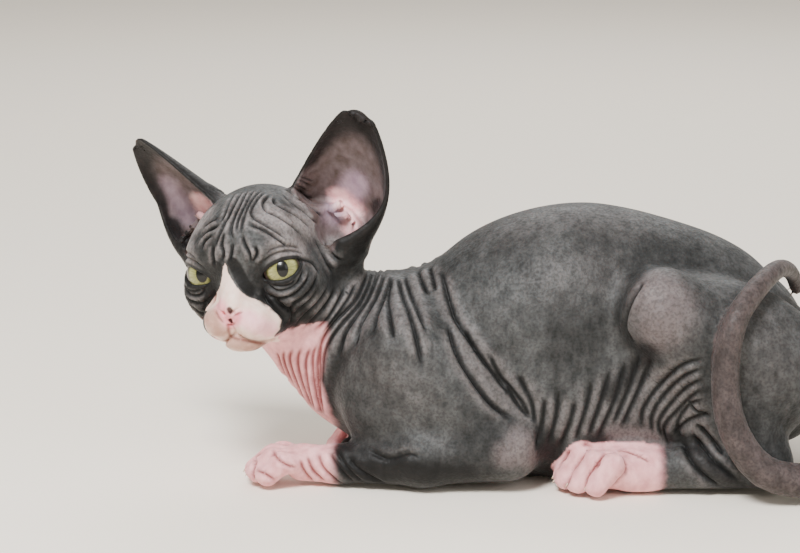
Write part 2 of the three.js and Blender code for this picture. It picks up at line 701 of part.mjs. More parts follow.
for (const [name, place] of [["left", (region) => region], ["right", acrossBody]]) {
  takePart("forearm_" + name, place(forearmRegion));
  takePart("upper_arm_" + name, place(upperArmRegion));
  takePart("hind_foot_" + name, place(hindFootRegion));
  takePart("thigh_" + name, place(thighRegion));
}
takePart("neck", neckRegion);
takePart("chest", chestRegion);
takePart("abdomen", abdomenRegion);
addPart("rump", largest(rest), SKIN);

for (let i = 0; i < TAIL_LENGTHS; i++) {
  const steps = TAIL_STEPS / TAIL_LENGTHS;
  const isLast = i === TAIL_LENGTHS - 1;
  const sections = tail.slice(i * steps, isLast ? tail.length : (i + 1) * steps + 1);
  addPart("tail_" + (i + 1), tailStretch(sections, 0, i > 0, !isLast), SKIN);
}

// The origin is on the floor, under the middle of the whole cat
const box = new THREE.Box3().setFromObject(cat);
const centre = box.getCenter(new THREE.Vector3());
cat.position.set(-centre.x, -centre.y, 0);

export default cat;
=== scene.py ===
# %% [markdown]
# # A sphynx cat lying down
# A sphynx is a hairless cat, so what the eye reads is skin: loose, folded, suede-like, grey with pink
# feet and a cream blaze. The body could be sculpted by hand, boxed out with subdivision, or described as
# one smooth field of soft shapes that melt together. The field is chosen here, because skin has no seams
# and every fold can then be pressed into it by formula. Lengths are millimetres until a mesh is written.

# %% The fixed frame
import math

import bpy
import numpy as np
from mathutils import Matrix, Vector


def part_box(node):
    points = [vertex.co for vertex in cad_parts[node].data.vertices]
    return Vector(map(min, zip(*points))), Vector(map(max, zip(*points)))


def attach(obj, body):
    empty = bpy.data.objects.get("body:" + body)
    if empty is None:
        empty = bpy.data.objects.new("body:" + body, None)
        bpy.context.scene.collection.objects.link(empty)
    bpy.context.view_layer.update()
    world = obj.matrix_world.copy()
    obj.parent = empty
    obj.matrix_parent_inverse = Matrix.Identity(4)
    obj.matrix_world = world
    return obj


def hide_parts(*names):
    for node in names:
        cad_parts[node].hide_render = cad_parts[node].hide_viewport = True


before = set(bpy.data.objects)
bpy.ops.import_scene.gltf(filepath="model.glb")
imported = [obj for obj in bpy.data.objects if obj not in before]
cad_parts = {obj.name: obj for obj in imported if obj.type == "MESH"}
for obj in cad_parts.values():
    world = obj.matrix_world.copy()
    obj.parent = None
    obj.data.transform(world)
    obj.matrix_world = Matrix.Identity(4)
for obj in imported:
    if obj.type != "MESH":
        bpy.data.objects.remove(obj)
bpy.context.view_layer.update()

EYE_AT = np.array((15.0, 21.0, 1.2))  # left eyeball, forward, left and up from the middle of the skull
HEAD_AT = np.array((-73.5, -22.0, 110.5))
HEAD_TURN_DEG = 21
HEAD_TILT_DEG = 7.5


def unit(v):
    """A vector divided by its own length."""
    v = np.asarray(v, float)
    return v / np.linalg.norm(v)


turn, tilt = math.radians(HEAD_TURN_DEG), math.radians(HEAD_TILT_DEG)
forward = np.array((-math.sin(turn), -math.cos(turn), 0.0))
level = np.array((math.cos(turn), -math.sin(turn), 0.0))
leftward = level * math.cos(tilt) + np.cross(forward, level) * math.sin(tilt)
HEAD_AXES = np.stack([forward, leftward, np.cross(forward, leftward)], 1)


def to_head(p):
    """Points seen from the skull: forward through the nose, to the cat's left, and up."""
    return (p - HEAD_AT) @ HEAD_AXES


def from_head(q):
    """The other way round: from the skull's own frame to the body's."""
    return np.asarray(q, float) @ HEAD_AXES.T + HEAD_AT


eye_box = np.array([list(corner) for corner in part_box("eye_left")]) * 1000
SHIFT = eye_box.mean(0) - from_head(EYE_AT)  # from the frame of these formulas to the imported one
print("the packed frame lies", np.round(SHIFT, 2), "mm from the formulas' own")

# %% [markdown]
# ## The camera
# The camera comes first, because the folds are placed by looking through it: a line drawn on the picture
# becomes a line on the skin where its sight lines land. A long lens from over a metre away keeps the head
# and the rump nearly the same scale, as a portrait lens does.

# %% The camera
PICTURE = (800, 553)
LOOK_DOWN_DEG = 12
CAMERA_DISTANCE = 1350.0
CAMERA_AIM = np.array((0.0, 0.0, 101.0))
MM_PER_PIXEL = 0.52  # at the aim
down = math.radians(LOOK_DOWN_DEG)
view_in = np.array((0.0, math.cos(down), -math.sin(down)))
view_right = np.array((1.0, 0.0, 0.0))
view_up = np.cross(view_right, view_in)
camera_at = CAMERA_AIM - view_in * CAMERA_DISTANCE
focal_pixels = CAMERA_DISTANCE / MM_PER_PIXEL


def in_metres(p):
    """Points of the formulas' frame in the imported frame, in metres."""
    return (np.asarray(p, float) + SHIFT) / 1000


SENSOR_MM = 36
lens = bpy.data.cameras.new("camera")
lens.sensor_width = SENSOR_MM
lens.lens = focal_pixels * SENSOR_MM / PICTURE[0]
lens.clip_end = 50
camera = bpy.data.objects.new("camera", lens)
camera.location = in_metres(camera_at)
camera.rotation_euler = (math.radians(90 - LOOK_DOWN_DEG), 0, 0)
bpy.context.scene.collection.objects.link(camera)
bpy.context.scene.camera = camera
print("focal length", round(lens.lens, 1), "mm")

# %% [markdown]
# ## Soft shapes
# A field gives each point its distance to a surface, below 0 inside. Two shapes join by taking the smaller
# distance, and where the two are nearly equal a little is taken off, so that they melt into each other as
# flesh does over bone. All functions take an array of points and answer for all of them at once.

# %% Soft shapes
FAR = 40.0  # a distance at which no form can melt into another
TINY = 1e-9  # keeps a division from dividing by nothing


def egg(p, centre, radii):
    """Distance to an ellipsoid, nearly: k (k - 1) / slope, where k is 1 on its surface."""
    q = p - np.asarray(centre, float)
    r = np.asarray(radii, float)
    near = np.linalg.norm(q / r, axis=1)
    return near * (near - 1) / (np.linalg.norm(q / r**2, axis=1) + TINY)


def ball(p, centre, radius):
    """Distance to a sphere."""
    return np.linalg.norm(p - np.asarray(centre, float), axis=1) - radius


def bone(p, a, b, ra, rb):
    """Distance to a round bar from a to b whose radius runs from ra to rb."""
    a, b = np.asarray(a, float), np.asarray(b, float)
    share = np.clip((p - a) @ (b - a) / ((b - a) @ (b - a)), 0, 1)
    return np.linalg.norm(p - a - share[:, None] * (b - a), axis=1) - ra - (rb - ra) * share


def melt(a, b, soft):
    """The smaller of two distances, less a quarter of soft where they are equal."""
    close = np.clip(soft - np.abs(a - b), 0, None) / soft
    return np.minimum(a, b) - close**2 * soft / 4


def carve(a, b, soft):
    """The first shape without the second, with a rounded edge."""
    return -melt(-a, b, soft)


def mirrored(p):
    """Points on the cat's left side taken to its right side, and the other way round."""
    return p * (1, -1, 1)


def folded_over(q):
    """Points with their side forgotten, so that one shape serves both sides."""
    q = q.copy()
    q[:, 1] = np.abs(q[:, 1])
    return q


def within(form, p, low, high, margin=24.0):
    """A form measured only inside a box, and far away outside, where it can't reach."""
    inside = ((p > np.asarray(low) - margin) & (p < np.asarray(high) + margin)).all(1)
    d = np.full(len(p), FAR)
    if inside.any():
        d[inside] = form(p[inside])
    return d


def ease(x, start, end):
    """0 before start, 1 after end, and 3 t squared - 2 t cubed between them."""
    t = np.clip((x - start) / (end - start), 0, 1)
    return t * t * (3 - 2 * t)


# %% [markdown]
# ## The ears
# A sphynx has huge ears: each is a thin sheet of cartilage rolled into a cup, wide at the root and rounded
# at the tip. A sheet could be drawn and thickened, but it would then need a seam at the skull. So the ear is
# a field too: an oval that narrows upwards, hollowed to a sheet, with its front cut open along a chord.

# %% The ears
EAR_INNER_ROOT = np.array((-15.5, 17.0, 34.0))
EAR_OUTER_ROOT = np.array((-25.0, 50.0, 2.0))
EAR_AXIS = unit((0.24, 0.46, 0.87))
EAR_HEIGHT = {1: 68.0, -1: 61.5}
EAR_TURN_DEG = {1: 0.0, -1: 25.0}  # each ear turned outwards about its own axis
EAR_SPREAD = {1: 0.36, -1: 0.34}  # how far its outer edge bows out
EAR_TAPER = {1: 0.5, -1: 0.72}  # how soon its inner edge draws in towards the tip
EAR_OUTER_TAPER = 0.36
EAR_DEPTH = 17.0
EAR_SUNK, EAR_TOP = 0.16, 0.985  # the sheet's foot below the root, and its rounded tip, in ear heights
EAR_WRAP_DEG, EAR_WRAP_END = 62, 0.42  # how far the cup closes round its foot, and where that ends
EAR_EDGE = 1.6  # rounding of the sheet's cut edges
SHEET_RIM, SHEET_ROOT = 2.0, 3.9
ear_across = EAR_OUTER_ROOT - EAR_INNER_ROOT
EAR_WIDTH = np.linalg.norm(ear_across)
ear_across = unit(ear_across - EAR_AXIS * (ear_across @ EAR_AXIS))
ear_mouth = np.cross(ear_across, EAR_AXIS)
ear_mouth = ear_mouth * np.sign(ear_mouth[0])
EAR_BASE = (EAR_INNER_ROOT + EAR_OUTER_ROOT) / 2


def ear_places(q, side):
    """Head points seen from one ear: height from 0 to 1, and millimetres across and out of the cup."""
    r = q * (1, side, 1) - EAR_BASE
    a = math.radians(EAR_TURN_DEG[side])
    across = ear_across * math.cos(a) - ear_mouth * math.sin(a)
    mouth = ear_mouth * math.cos(a) + ear_across * math.sin(a)
    return r @ EAR_AXIS / EAR_HEIGHT[side], r @ across, r @ mouth


def ear_oval(h, w, d, side):
    """The oval of the ear at each height: its distance, and its place and half widths."""
    up, low = np.clip(h, 0, 0.992), np.clip(h, -0.3, 0)
    inner = EAR_WIDTH / 2 * (1 - up) ** EAR_TAPER[side]
    outer = EAR_WIDTH / 2 * (1 - up) ** EAR_OUTER_TAPER * (1 + EAR_SPREAD[side] * np.sin(np.pi * up))
    half = (inner + outer) / 2 * (1 + 0.35 * low)
    deep = EAR_DEPTH * (1 - up) ** 0.75 * (1 + 0.8 * low)
    x = w - (outer - inner) / 2
    near = np.hypot(x / half, d / deep)
    slope = np.hypot(x / half**2, d / deep**2) + TINY
    return near * (near - 1) / slope, x, half, deep, up


def ear_parts(q, side):
    """How far each head point is from the middle of the sheet (below 0 in the cup) and from its cut edge."""
    h, w, d = ear_places(q, side)
    oval, x, half, deep, up = ear_oval(h, w, d, side)
    step = 0.01
    above, below = (ear_oval(h + k, w, d, side)[0] for k in (step, -step))
    lean = (above - below) / (2 * step * EAR_HEIGHT[side])
    sheet = oval / np.sqrt(1 + lean**2)
    closed = np.clip(1 - np.clip(h, 0, None) / EAR_WRAP_END, 0, None) ** 1.2
    wrap = np.radians(90 + EAR_WRAP_DEG * closed)
    run_x, run_d = half * (np.sin(wrap) + 1), -deep * np.cos(wrap)
    edge = ((x + half) * -run_d + d * run_x) / np.hypot(run_x, run_d)
    return sheet, edge, h, up


def ear(q, side, extra=0.0):
    """Distance to one ear, whose sheet may be drawn thicker by extra."""
    sheet, edge, h, up = ear_parts(q, side)
    thick = SHEET_RIM + (SHEET_ROOT - SHEET_RIM) * (1 - up) ** 3 + extra
    height = EAR_HEIGHT[side]
    d = carve(np.abs(sheet) - thick / 2, -(edge - extra / 2), EAR_EDGE)
    rounded = np.minimum((ear_places(q, side)[1] - 1.2) ** 2 / 12, 2.5)
    d = carve(d, (EAR_TOP - h) * height - rounded + extra / 2, EAR_EDGE)
    return carve(d, (h + EAR_SUNK) * height, EAR_EDGE)


print("ears", EAR_HEIGHT[1], "and", EAR_HEIGHT[-1], "mm high,", round(float(EAR_WIDTH), 1), "mm wide below")

# %% [markdown]
# ## The head
# The skull is one large egg with the forehead, cheekbones, jaws, muzzle, nose and brows melted on. The lids
# are a slightly larger ball round each eyeball, cut open by an almond. Nostrils, the line of the mouth and
# the groove under the nose are pressed in.

# %% The head
EYE_RADIUS = 10.0
EYE_LOOK = unit((0.86, 0.42, 0.02))
EYE_ACROSS = np.array((-0.40, 0.86, 0.26))
EYE_ACROSS = unit(EYE_ACROSS - EYE_LOOK * (EYE_ACROSS @ EYE_LOOK))
EYE_RISE = np.cross(EYE_LOOK, EYE_ACROSS)
LID_HALF, LID_UP, LID_DOWN, LID_LIFT = 10.6, 4.2, 4.9, 0.3
LID_THICK, LID_CUT = 1.2, 6.5  # over the eyeball, and how far behind its front they are cut open
MOUTH_DEPTH, MOUTH_WIDTH = 1.5, 0.8
GROOVE_DEPTH, GROOVE_WIDTH = 1.4, 0.7  # from the nose down to the mouth


def lid_gap(q):
    """Distance to the almond between the lids, above 0 on the lids. The curve is 1 - x squared, rounded."""
    r = q - EYE_AT
    x, y, z = r @ EYE_ACROSS, r @ EYE_RISE, r @ EYE_LOOK
    lens_shape = 1 - (x / LID_HALF) ** 2
    curve = np.sign(lens_shape) * np.abs(lens_shape) ** 0.75
    top, low = LID_UP * curve + LID_LIFT, -LID_DOWN * curve + LID_LIFT
    return np.maximum(y - top, low - y) * 0.75, z


def mouth_height(y):
    """How high the line of the mouth lies, by the distance from the middle: down over the pad and up."""
    return np.interp(y, (0, 2.8, 5.4, 9.6, 13, 17), (-27.4, -28.9, -30.8, -33.2, -34.2, -32.8))


def head(p):
    """The whole head without its ears."""
    q = to_head(p)
    s = folded_over(q)
    f = egg(q, (-11, 0, 11), (36, 31, 30))
    f = melt(f, egg(q, (10, 0, 14), (20, 25, 19)), 14)
    f = melt(f, egg(s, (4, 22, -8), (20, 14.5, 14)), 12)
    f = melt(f, egg(s, (-8, 17, -21), (22, 15.5, 14)), 12)
    f = melt(f, bone(q, (14, 0, 4), (32, 0, -10), 11, 6), 8)
    f = melt(f, egg(q, (20, 0, -19), (15, 14, 11)), 8)
    f = melt(f, egg(s, (17, 13, -24.5), (14, 9, 9)), 5)
    f = melt(f, egg(q, (25.5, 0, -31.5), (9, 10, 6.4)), 4)
    f = melt(f, bone(s, (22, 4, -30), (-8, 17, -26), 6, 9), 7)
    f = melt(f, egg(s, (29.5, 8.6, -21.5), (10.5, 9.6, 8.2)), 3.5)
    f = melt(f, egg(q, (36, 0, -14), (4.6, 5.6, 4.8)), 2.5)
    f = melt(f, egg(s, (17, 15, 13), (10, 12, 8)), 8)
    f = melt(f, ball(s, EYE_AT, EYE_RADIUS + LID_THICK), 3)
    gap, z = lid_gap(s)
    f = carve(f, np.maximum(gap, EYE_RADIUS - LID_CUT - z), 1.2)
    f = melt(f, egg(s, (-25, 33, 6), (17, 18, 21)), 7)
    f = carve(f, egg(s, (-14, 40, 17), (12, 9.5, 19)), 3)
    f = melt(f, bone(s, (-22.5, 36.2, 24), (-24, 42.5, 27), 2.2, 1.8), 1.2)
    f = melt(f, bone(s, (-21.5, 37.5, 20.5), (-22, 43.5, 20.5), 1.7, 1.5), 1.0)
    f = melt(f, bone(s, (-22, 43.5, 20.5), (-20.5, 49.5, 14.5), 1.5, 1.3), 1.0)
    f = carve(f, egg(s, (-25, 39, 22.7), (2.6, 2.2, 1.3)), 0.8)
    x, y, z = q[:, 0], s[:, 1], q[:, 2]
    f = f + MOUTH_DEPTH * np.exp(-(((z - mouth_height(y)) / MOUTH_WIDTH) ** 2)) * ease(x, 8, 16)
    groove = GROOVE_DEPTH * np.exp(-((y / GROOVE_WIDTH) ** 2)) * ease(x, 30, 34) * ease(-z, 18, 20)
    f = f + groove * ease(z, -28.5, -27)
    f = carve(f, egg(s, (40.2, 2.5, -15.6), (3.2, 1.3, 1.5)), 0.8)
    return carve(f, bone(s, (39.8, 3, -15.4), (37.4, 6, -13.6), 0.8, 0.5), 0.6)


# %% [markdown]
# ## Neck, trunk and legs
# A cat at rest is a row of soft masses: chest, ribs, belly and pelvis, with the forelegs laid along the
# floor and the hind legs folded beside the belly. Each toe is two short bones that meet at the knuckle, and
# the four toes melt only a little, so that the clefts between them stay.

# %% Neck and trunk


def neck(p):
    """Two bones from the skull to the shoulders, and one under them for the throat."""
    f = bone(p, from_head((-14, 0, 0)), (-36, 0, 76), 25, 27)
    f = melt(f, bone(p, (-36, 0, 76), (4, 0, 64), 27, 36), 10)
    return melt(f, bone(p, from_head((-2, 0, -20)), (-34, -2, 50), 14, 20), 12)


def trunk(p):
    """Chest, ribs, back, pelvis, rump and belly."""
    f = egg(p, (2, 0, 50), (42, 36, 44))
    f = melt(f, egg(p, (62, 0, 72), (56, 45, 56)), 18)
    f = melt(f, egg(p, (100, 0, 74), (62, 48, 65)), 28)
    f = melt(f, egg(p, (148, 0, 62), (58, 42, 62)), 26)
    f = melt(f, egg(p, (193, 0, 50), (33, 36, 38)), 12)
    return melt(f, egg(p, (92, 0, 38), (80, 52, 44)), 18)


# %% Legs and paws
TOES = ((17.5, -10.8), (23.0, -3.8), (24.5, 3.8), (18.5, 10.8))  # ahead of the ball of the foot, and aside
HIND_TOES = ((8.0, -11.5), (17.0, -5.5), (23.0, 2.0), (23.0, 9.5))
TOE_RADIUS = 5.2


def toe_places(foot_ball, heading_deg, reach, aside, height):
    """A place on a foot, from how far ahead and aside of its ball it lies."""
    a = math.radians(heading_deg)
    x = foot_ball[0] - math.cos(a) * reach - math.sin(a) * aside
    y = foot_ball[1] - math.sin(a) * reach + math.cos(a) * aside
    return np.array((x, y, height))


def paw(p, wrist, foot_ball, radii, heading_deg, toes, knuckle_height):
    """A foot: a bone to its ball, and four toes that fan out from it and bend down at the knuckle."""
    fan = None
    for reach, aside in toes:
        root = toe_places(foot_ball, heading_deg, -1, aside * 0.5, 12.5)
        knuckle = toe_places(foot_ball, heading_deg, reach - 8.5, aside, knuckle_height)
        tip = toe_places(foot_ball, heading_deg, reach, aside, TOE_RADIUS + 1.5)
        toe = melt(bone(p, root, knuckle, 5, 5), bone(p, knuckle, tip, 4.8, TOE_RADIUS), 3)
        fan = toe if fan is None else melt(fan, toe, 2.5)
    return melt(bone(p, wrist, foot_ball, *radii), fan, 4)


def foreleg(p):
    """The left foreleg: shoulder, upper arm and a forearm along the floor."""
    f = bone(p, (2, -32, 70), (54, -44, 24), 22, 16)
    f = melt(f, egg(p, (12, -33, 46), (43, 21, 41)), 12)
    f = melt(f, bone(p, (54, -45, 21), (12, -46, 17), 16.5, 14.5), 8)
    return melt(f, bone(p, (12, -46, 16), (-32, -38, 11), 14, 9.5), 6)


def folded_foreleg(p):
    """The right foreleg, drawn on the left side: the same shoulder, with the forearm turned in."""
    f = bone(p, (2, -32, 70), (54, -44, 24), 22, 16)
    f = melt(f, egg(p, (12, -32, 50), (36, 17, 40)), 12)
    f = melt(f, bone(p, (54, -45, 21), (12, -40, 17), 16.5, 14), 8)
    return melt(f, bone(p, (12, -40, 16), (-16, -28, 12), 13.5, 10), 6)


def hind_leg(p):
    """A folded hind leg: thigh, shank and the long foot."""
    f = bone(p, (132, -50, 95), (186, -34, 62), 21, 30)
    f = melt(f, egg(p, (165, -38, 60), (46, 22, 46)), 12)
    f = melt(f, bone(p, (134, -50, 88), (184, -50, 22), 16, 12), 10)
    return melt(f, bone(p, *HIND_FOOT), 6)


FORE_PAW = ((-30, -38, 10.5), (-50, -35.5, 11), (9.5, 9.5), 0, TOES, 13.5)
FOLDED_PAW = ((-10, 26, 11.5), (-13, 16, 11), (9.5, 9.5), 40, TOES, 12.5)
HIND_PAW = ((124, -52, 12), (107, -53.5, 13), (10, 10.5), 0, HIND_TOES, 18)
FEET = ((FORE_PAW, 1), (FOLDED_PAW, 1), (HIND_PAW, 1), (HIND_PAW, -1))  # -1 is the right side's copy
HIND_FOOT = ((188, -51, 14), (118, -52, 11.5), 12, 9.5)  # the long bone from the heel to the toes

# %% [markdown]
# ## The tail
# The tail leaves the rump, lies along the floor and climbs over the left thigh to end in a small hook. A
# curve object with a bevel could draw it, but a chain of bones along the same smooth route joins the skin.

# %% The tail
TAIL_ROUTE = np.array(
    (
        (206, 2, 60), (226, -3, 51), (241, -16, 36), (244, -38, 19), (229, -60, 12), (204, -71, 11.5),
        (181, -76, 18), (166, -76, 38), (161, -73, 64), (165, -70, 91), (175, -59, 104),
        (186, -42, 110.5), (195, -22, 110), (203, -3, 103.5), (208, 10, 93),
    ),
    float,
)


def smooth_route(points, steps):
    """Catmull-Rom curve through the points: each stretch bends by its neighbours, in so many steps."""
    q = np.vstack([2 * points[0] - points[1], points, 2 * points[-1] - points[-2]])
    t = np.linspace(0, 1, steps, endpoint=False)[None, :, None]
    a, b, c, d = (q[i : len(q) - 3 + i, None, :] for i in range(4))
    curve = 2 * b + (c - a) * t + (2 * a - 5 * b + 4 * c - d) * t**2 + (3 * b - 3 * c + d - a) * t**3
    return np.vstack([curve.reshape(-1, points.shape[1]) / 2, points[-1:]])


def travelled(route):
    """The share of the route's length behind each of its points."""
    run = np.concatenate([[0], np.cumsum(np.linalg.norm(np.diff(route, axis=0), axis=1))])
    return run / run[-1]


tail_route = smooth_route(TAIL_ROUTE, 3)
tail_radii = np.interp(travelled(tail_route), (0, 0.42, 1), (11.0, 8.6, 3.6))
print("tail", round(float(np.linalg.norm(np.diff(tail_route, axis=0), axis=1).sum())), "mm long")


def tail(p):
    """The nearest of the tail's bones."""
    f = np.full(len(p), FAR)
    for a, b, ra, rb in zip(tail_route[:-1], tail_route[1:], tail_radii[:-1], tail_radii[1:]):
        f = np.minimum(f, bone(p, a, b, ra, rb))
    return f


# %% The whole cat


def both_ears(p, extra=0.0):
    """The nearer of the two ears."""
    q = to_head(p)
    return np.minimum(ear(q, 1, extra), ear(q, -1, extra))


def flesh(p, ear_extra=0.0):
    """The cat's one smooth field, flat where it meets the floor."""
    f = trunk(p)
    f = melt(f, within(neck, p, (-120, -60, 20), (50, 60, 170)), 22)
    f = melt(f, within(head, p, (-135, -75, 50), (-15, 40, 172)), 10)
    f = melt(f, within(lambda r: both_ears(r, ear_extra), p, (-142, -75, 95), (-10, 40, 200), 8), 4)
    q = mirrored(p)
    f = melt(f, within(foreleg, p, (-45, -75, -5), (85, 0, 110)), 9)
    f = melt(f, within(lambda r: paw(r, *FORE_PAW), p, (-85, -60, -5), (-15, -10, 30)), 4)
    f = melt(f, within(folded_foreleg, q, (-45, -75, -5), (85, 10, 110)), 9)
    f = melt(f, within(lambda r: paw(r, *FOLDED_PAW), p, (-60, -10, -5), (0, 45, 30)), 3)
    for side in (p, q):
        f = melt(f, within(hind_leg, side, (95, -85, -5), (235, 0, 125)), 9)
        f = melt(f, within(lambda r: paw(r, *HIND_PAW), side, (65, -80, -5), (140, -30, 35)), 6)
    f = melt(f, within(tail, p, (150, -100, 0), (265, 30, 130)), 2)
    return np.maximum(f, -p[:, 2])


# %% [markdown]
# ## From field to mesh
# Surface nets: a grid is laid over the field, each cell that the surface crosses gets one point, and each
# grid edge that it crosses gets one quad from the four cells round it. The ears are first netted thicker
# than they are, so that a coarse grid can't miss the thin sheet, and drawn in to size afterwards.

# %% Surface nets
BATCH = 150000  # points measured at a time, to spare memory


def ends_along(axis):
    """Slices for the lower and for the upper end of every grid edge along an axis."""
    lower, upper = [slice(None)] * 3, [slice(None)] * 3
    lower[axis], upper[axis] = slice(0, -1), slice(1, None)
    return lower, upper


def surface_net(form, axes):
    """Points and quads of the form's surface on a grid whose spacing may vary along each axis."""
    n = [len(a) for a in axes]
    places = np.stack(np.meshgrid(*axes, indexing="ij"), -1).reshape(-1, 3)
    parts = np.array_split(places, max(1, len(places) // BATCH))
    value = np.concatenate([form(part) for part in parts]).reshape(n)
    inside = value < 0
    cells = [m - 1 for m in n]
    total, count = np.zeros(cells + [3]), np.zeros(cells)
    for axis in range(3):
        others = [k for k in range(3) if k != axis]
        lower, upper = ends_along(axis)
        a, b = value[tuple(lower)], value[tuple(upper)]
        crossed = inside[tuple(lower)] != inside[tuple(upper)]
        t = np.where(crossed, a / np.where(crossed, a - b, 1), 0)
        for i in (0, 1):
            for j in (0, 1):
                part = [slice(None)] * 3
                part[others[0]] = slice(i, cells[others[0]] + i)
                part[others[1]] = slice(j, cells[others[1]] + j)
                hit = crossed[tuple(part)]
                total[..., axis] += hit * t[tuple(part)]
                total[..., others[0]] += hit * i
                total[..., others[1]] += hit * j
                count += hit
    active = count > 0
    number = -np.ones(cells, int)
    number[active] = np.arange(active.sum())
    cell = np.stack(np.nonzero(active), 1)
    share = total[active] / count[active][:, None]
    points = np.stack([axes[k][cell[:, k]] + share[:, k] * np.diff(axes[k])[cell[:, k]] for k in range(3)], 1)
    quads = []
    for axis in range(3):
        u, v = (axis + 1) % 3, (axis + 2) % 3
        lower, upper = ends_along(axis)
        for part in (lower, upper):
            part[u], part[v] = slice(1, -1), slice(1, -1)
        a, b = inside[tuple(lower)], inside[tuple(upper)]
        for outward, crossing in ((True, a & ~b), (False, ~a & b)):
            edge = np.stack(np.nonzero(crossing), 1)
            edge[:, u] += 1
            edge[:, v] += 1
            ring = []
            for du, dv in ((-1, -1), (0, -1), (0, 0), (-1, 0)):
                near = edge.copy()
                near[:, u] += du
                near[:, v] += dv
                ring.append(number[near[:, 0], near[:, 1], near[:, 2]])
            quads.append(np.stack(ring if outward else ring[::-1], 1))
    return points, np.vstack(quads)


# %% Finer triangles, settled on the field
LEAST_SLOPE = 0.15  # squared, so that a point where the field is nearly flat isn't thrown far
SPLIT_OVER = 1.42  # times the length wanted, so that neither half is much too short


def triangle_edges(faces):
    """The ends of every triangle's first edge, then of its second and of its third."""
    return np.vstack([faces[:, [0, 1]], faces[:, [1, 2]], faces[:, [2, 0]]])


def slope_of(form, p, step=0.05):
    """The field's slope at each point, from four samples at the corners of a small tetrahedron."""
    corners = np.array(((1, -1, -1), (-1, -1, 1), (-1, 1, -1), (1, 1, 1)), float)
    return sum(corner * form(p + corner * step)[:, None] for corner in corners) / (4 * step)


def settle(form, p, rounds=2, most=1.2):
    """Points moved down or up the slope by their distance, until they lie on the surface."""
    for _ in range(rounds):
        slope = slope_of(form, p)
        step = form(p) / np.maximum((slope**2).sum(1), LEAST_SLOPE)
        p = p - np.clip(step, -most, most)[:, None] * slope
    return p


def split_long(p, faces, longest):
    """Every edge longer than its place allows is halved, and its triangles are cut to match."""
    edges, which = np.unique(np.sort(triangle_edges(faces), 1), axis=0, return_inverse=True)
    which = which.reshape(3, -1).T
    middle = p[edges].mean(1)
    cut = np.linalg.norm(p[edges[:, 0]] - p[edges[:, 1]], axis=1) > longest(middle) * SPLIT_OVER
    new = -np.ones(len(edges), int)
    new[cut] = len(p) + np.arange(cut.sum())
    halves = new[which]
    is_cut = halves >= 0
    n = is_cut.sum(1)
    t, m = faces[n == 3], halves[n == 3]
    out = [faces[n == 0], m]
    for k in range(3):
        out.append(np.stack([t[:, k], m[:, k], m[:, (k + 2) % 3]], 1))
    for k in range(3):
        one, two = (n == 1) & is_cut[:, k], (n == 2) & ~is_cut[:, k]
        a, b, c = (faces[one][:, (k + i) % 3] for i in range(3))
        e = halves[one][:, k]
        out += [np.stack([a, e, c], 1), np.stack([e, b, c], 1)]
        a, b, c = (faces[two][:, (k + i) % 3] for i in range(3))
        e, g = (halves[two][:, (k + i) % 3] for i in (1, 2))
        out += [np.stack([e, c, g], 1), np.stack([a, b, e], 1), np.stack([a, e, g], 1)]
    return np.vstack([p, middle[cut]]), np.vstack(out)


def relax(p, faces, share=0.3):
    """Each point moved part of the way to the mean of its neighbours, which evens out the triangles."""
    start, end = triangle_edges(faces).T
    count = np.maximum(np.bincount(start, minlength=len(p)), 1)
    mean = [np.bincount(start, p[end, k], minlength=len(p)) / count for k in range(3)]
    return p + share * (np.stack(mean, 1) - p)


# %% [markdown]
# ## Where the folds lie
# Loose skin folds across the way it is pushed together: up the forehead, round the neck, down the flank and
# in rings behind the knee. Folds could be sculpted or made by noise, but a sphynx's folds are its likeness,
# so each is a named line, drawn in pixels of the view and cast on to the skin.

# %% Folds in pixels of the view
FOREHEAD = (
    ((235, 194), (229, 205), (225, 216), (220, 225)),
    ((243, 191), (234, 207), (229, 218), (224, 225), (218, 240), (214, 251)),
    ((248, 190), (241, 205), (235, 218), (231, 231), (233, 239), (235, 242)),
    ((254, 190), (246, 205), (239, 220), (237, 231), (239, 236)),
    ((261, 190), (251, 203), (244, 218), (241, 231), (240, 238)),
    ((266, 191), (257, 201), (251, 212), (254, 218), (262, 224), (277, 233), (290, 243)),
    ((271, 194), (263, 203), (266, 211), (276, 216), (290, 225), (305, 238)),
    ((275, 196), (274, 203), (281, 208), (296, 216), (312, 229)),
    ((284, 194), (288, 201), (302, 211), (318, 224)),
    ((250, 220), (252, 225), (263, 230), (277, 239), (290, 249)),
    ((242, 234), (245, 244), (250, 254), (251, 264)),
    ((233, 242), (232, 251), (230, 262)),
    ((225, 231), (222, 244), (224, 254), (221, 262)),
    ((214, 244), (213, 255), (215, 266)),
    ((218, 218), (208, 224), (203, 229)),
    ((220, 225), (209, 231), (201, 238)),
    ((213, 234), (205, 241), (201, 250)),
    ((254, 245), (257, 253), (252, 263)),
    ((292, 194), (299, 200), (312, 208), (324, 218)),
    ((298, 188), (306, 196), (318, 203)),
)
UNDER_EYE = (
    ((263, 279), (272.9, 288.2), (280.9, 290.4), (291.6, 287.3), (300.5, 278.4), (303.7, 265.9)),
    ((270, 284), (276.4, 285.8), (283.6, 286), (291.6, 283.5), (297, 277)),
    ((261, 285), (267, 293), (279, 298), (294, 294), (306, 282), (311, 268)),
    ((288, 303), (299, 300), (311, 289), (318, 275)),
)
BROW = (
    ((258, 268), (264, 261), (274, 254), (286, 251), (298, 252), (306, 258)),
    ((262, 258), (273, 249), (288, 246), (302, 249)),
)
MUZZLE_EDGE = (
    ((262, 284), (263, 291), (266, 299), (270.2, 305.2), (277.3, 311.4), (283, 317), (285, 325)),
    ((272, 296), (278.2, 301), (284.5, 306.3), (290.7, 310.6), (293, 320)),
)
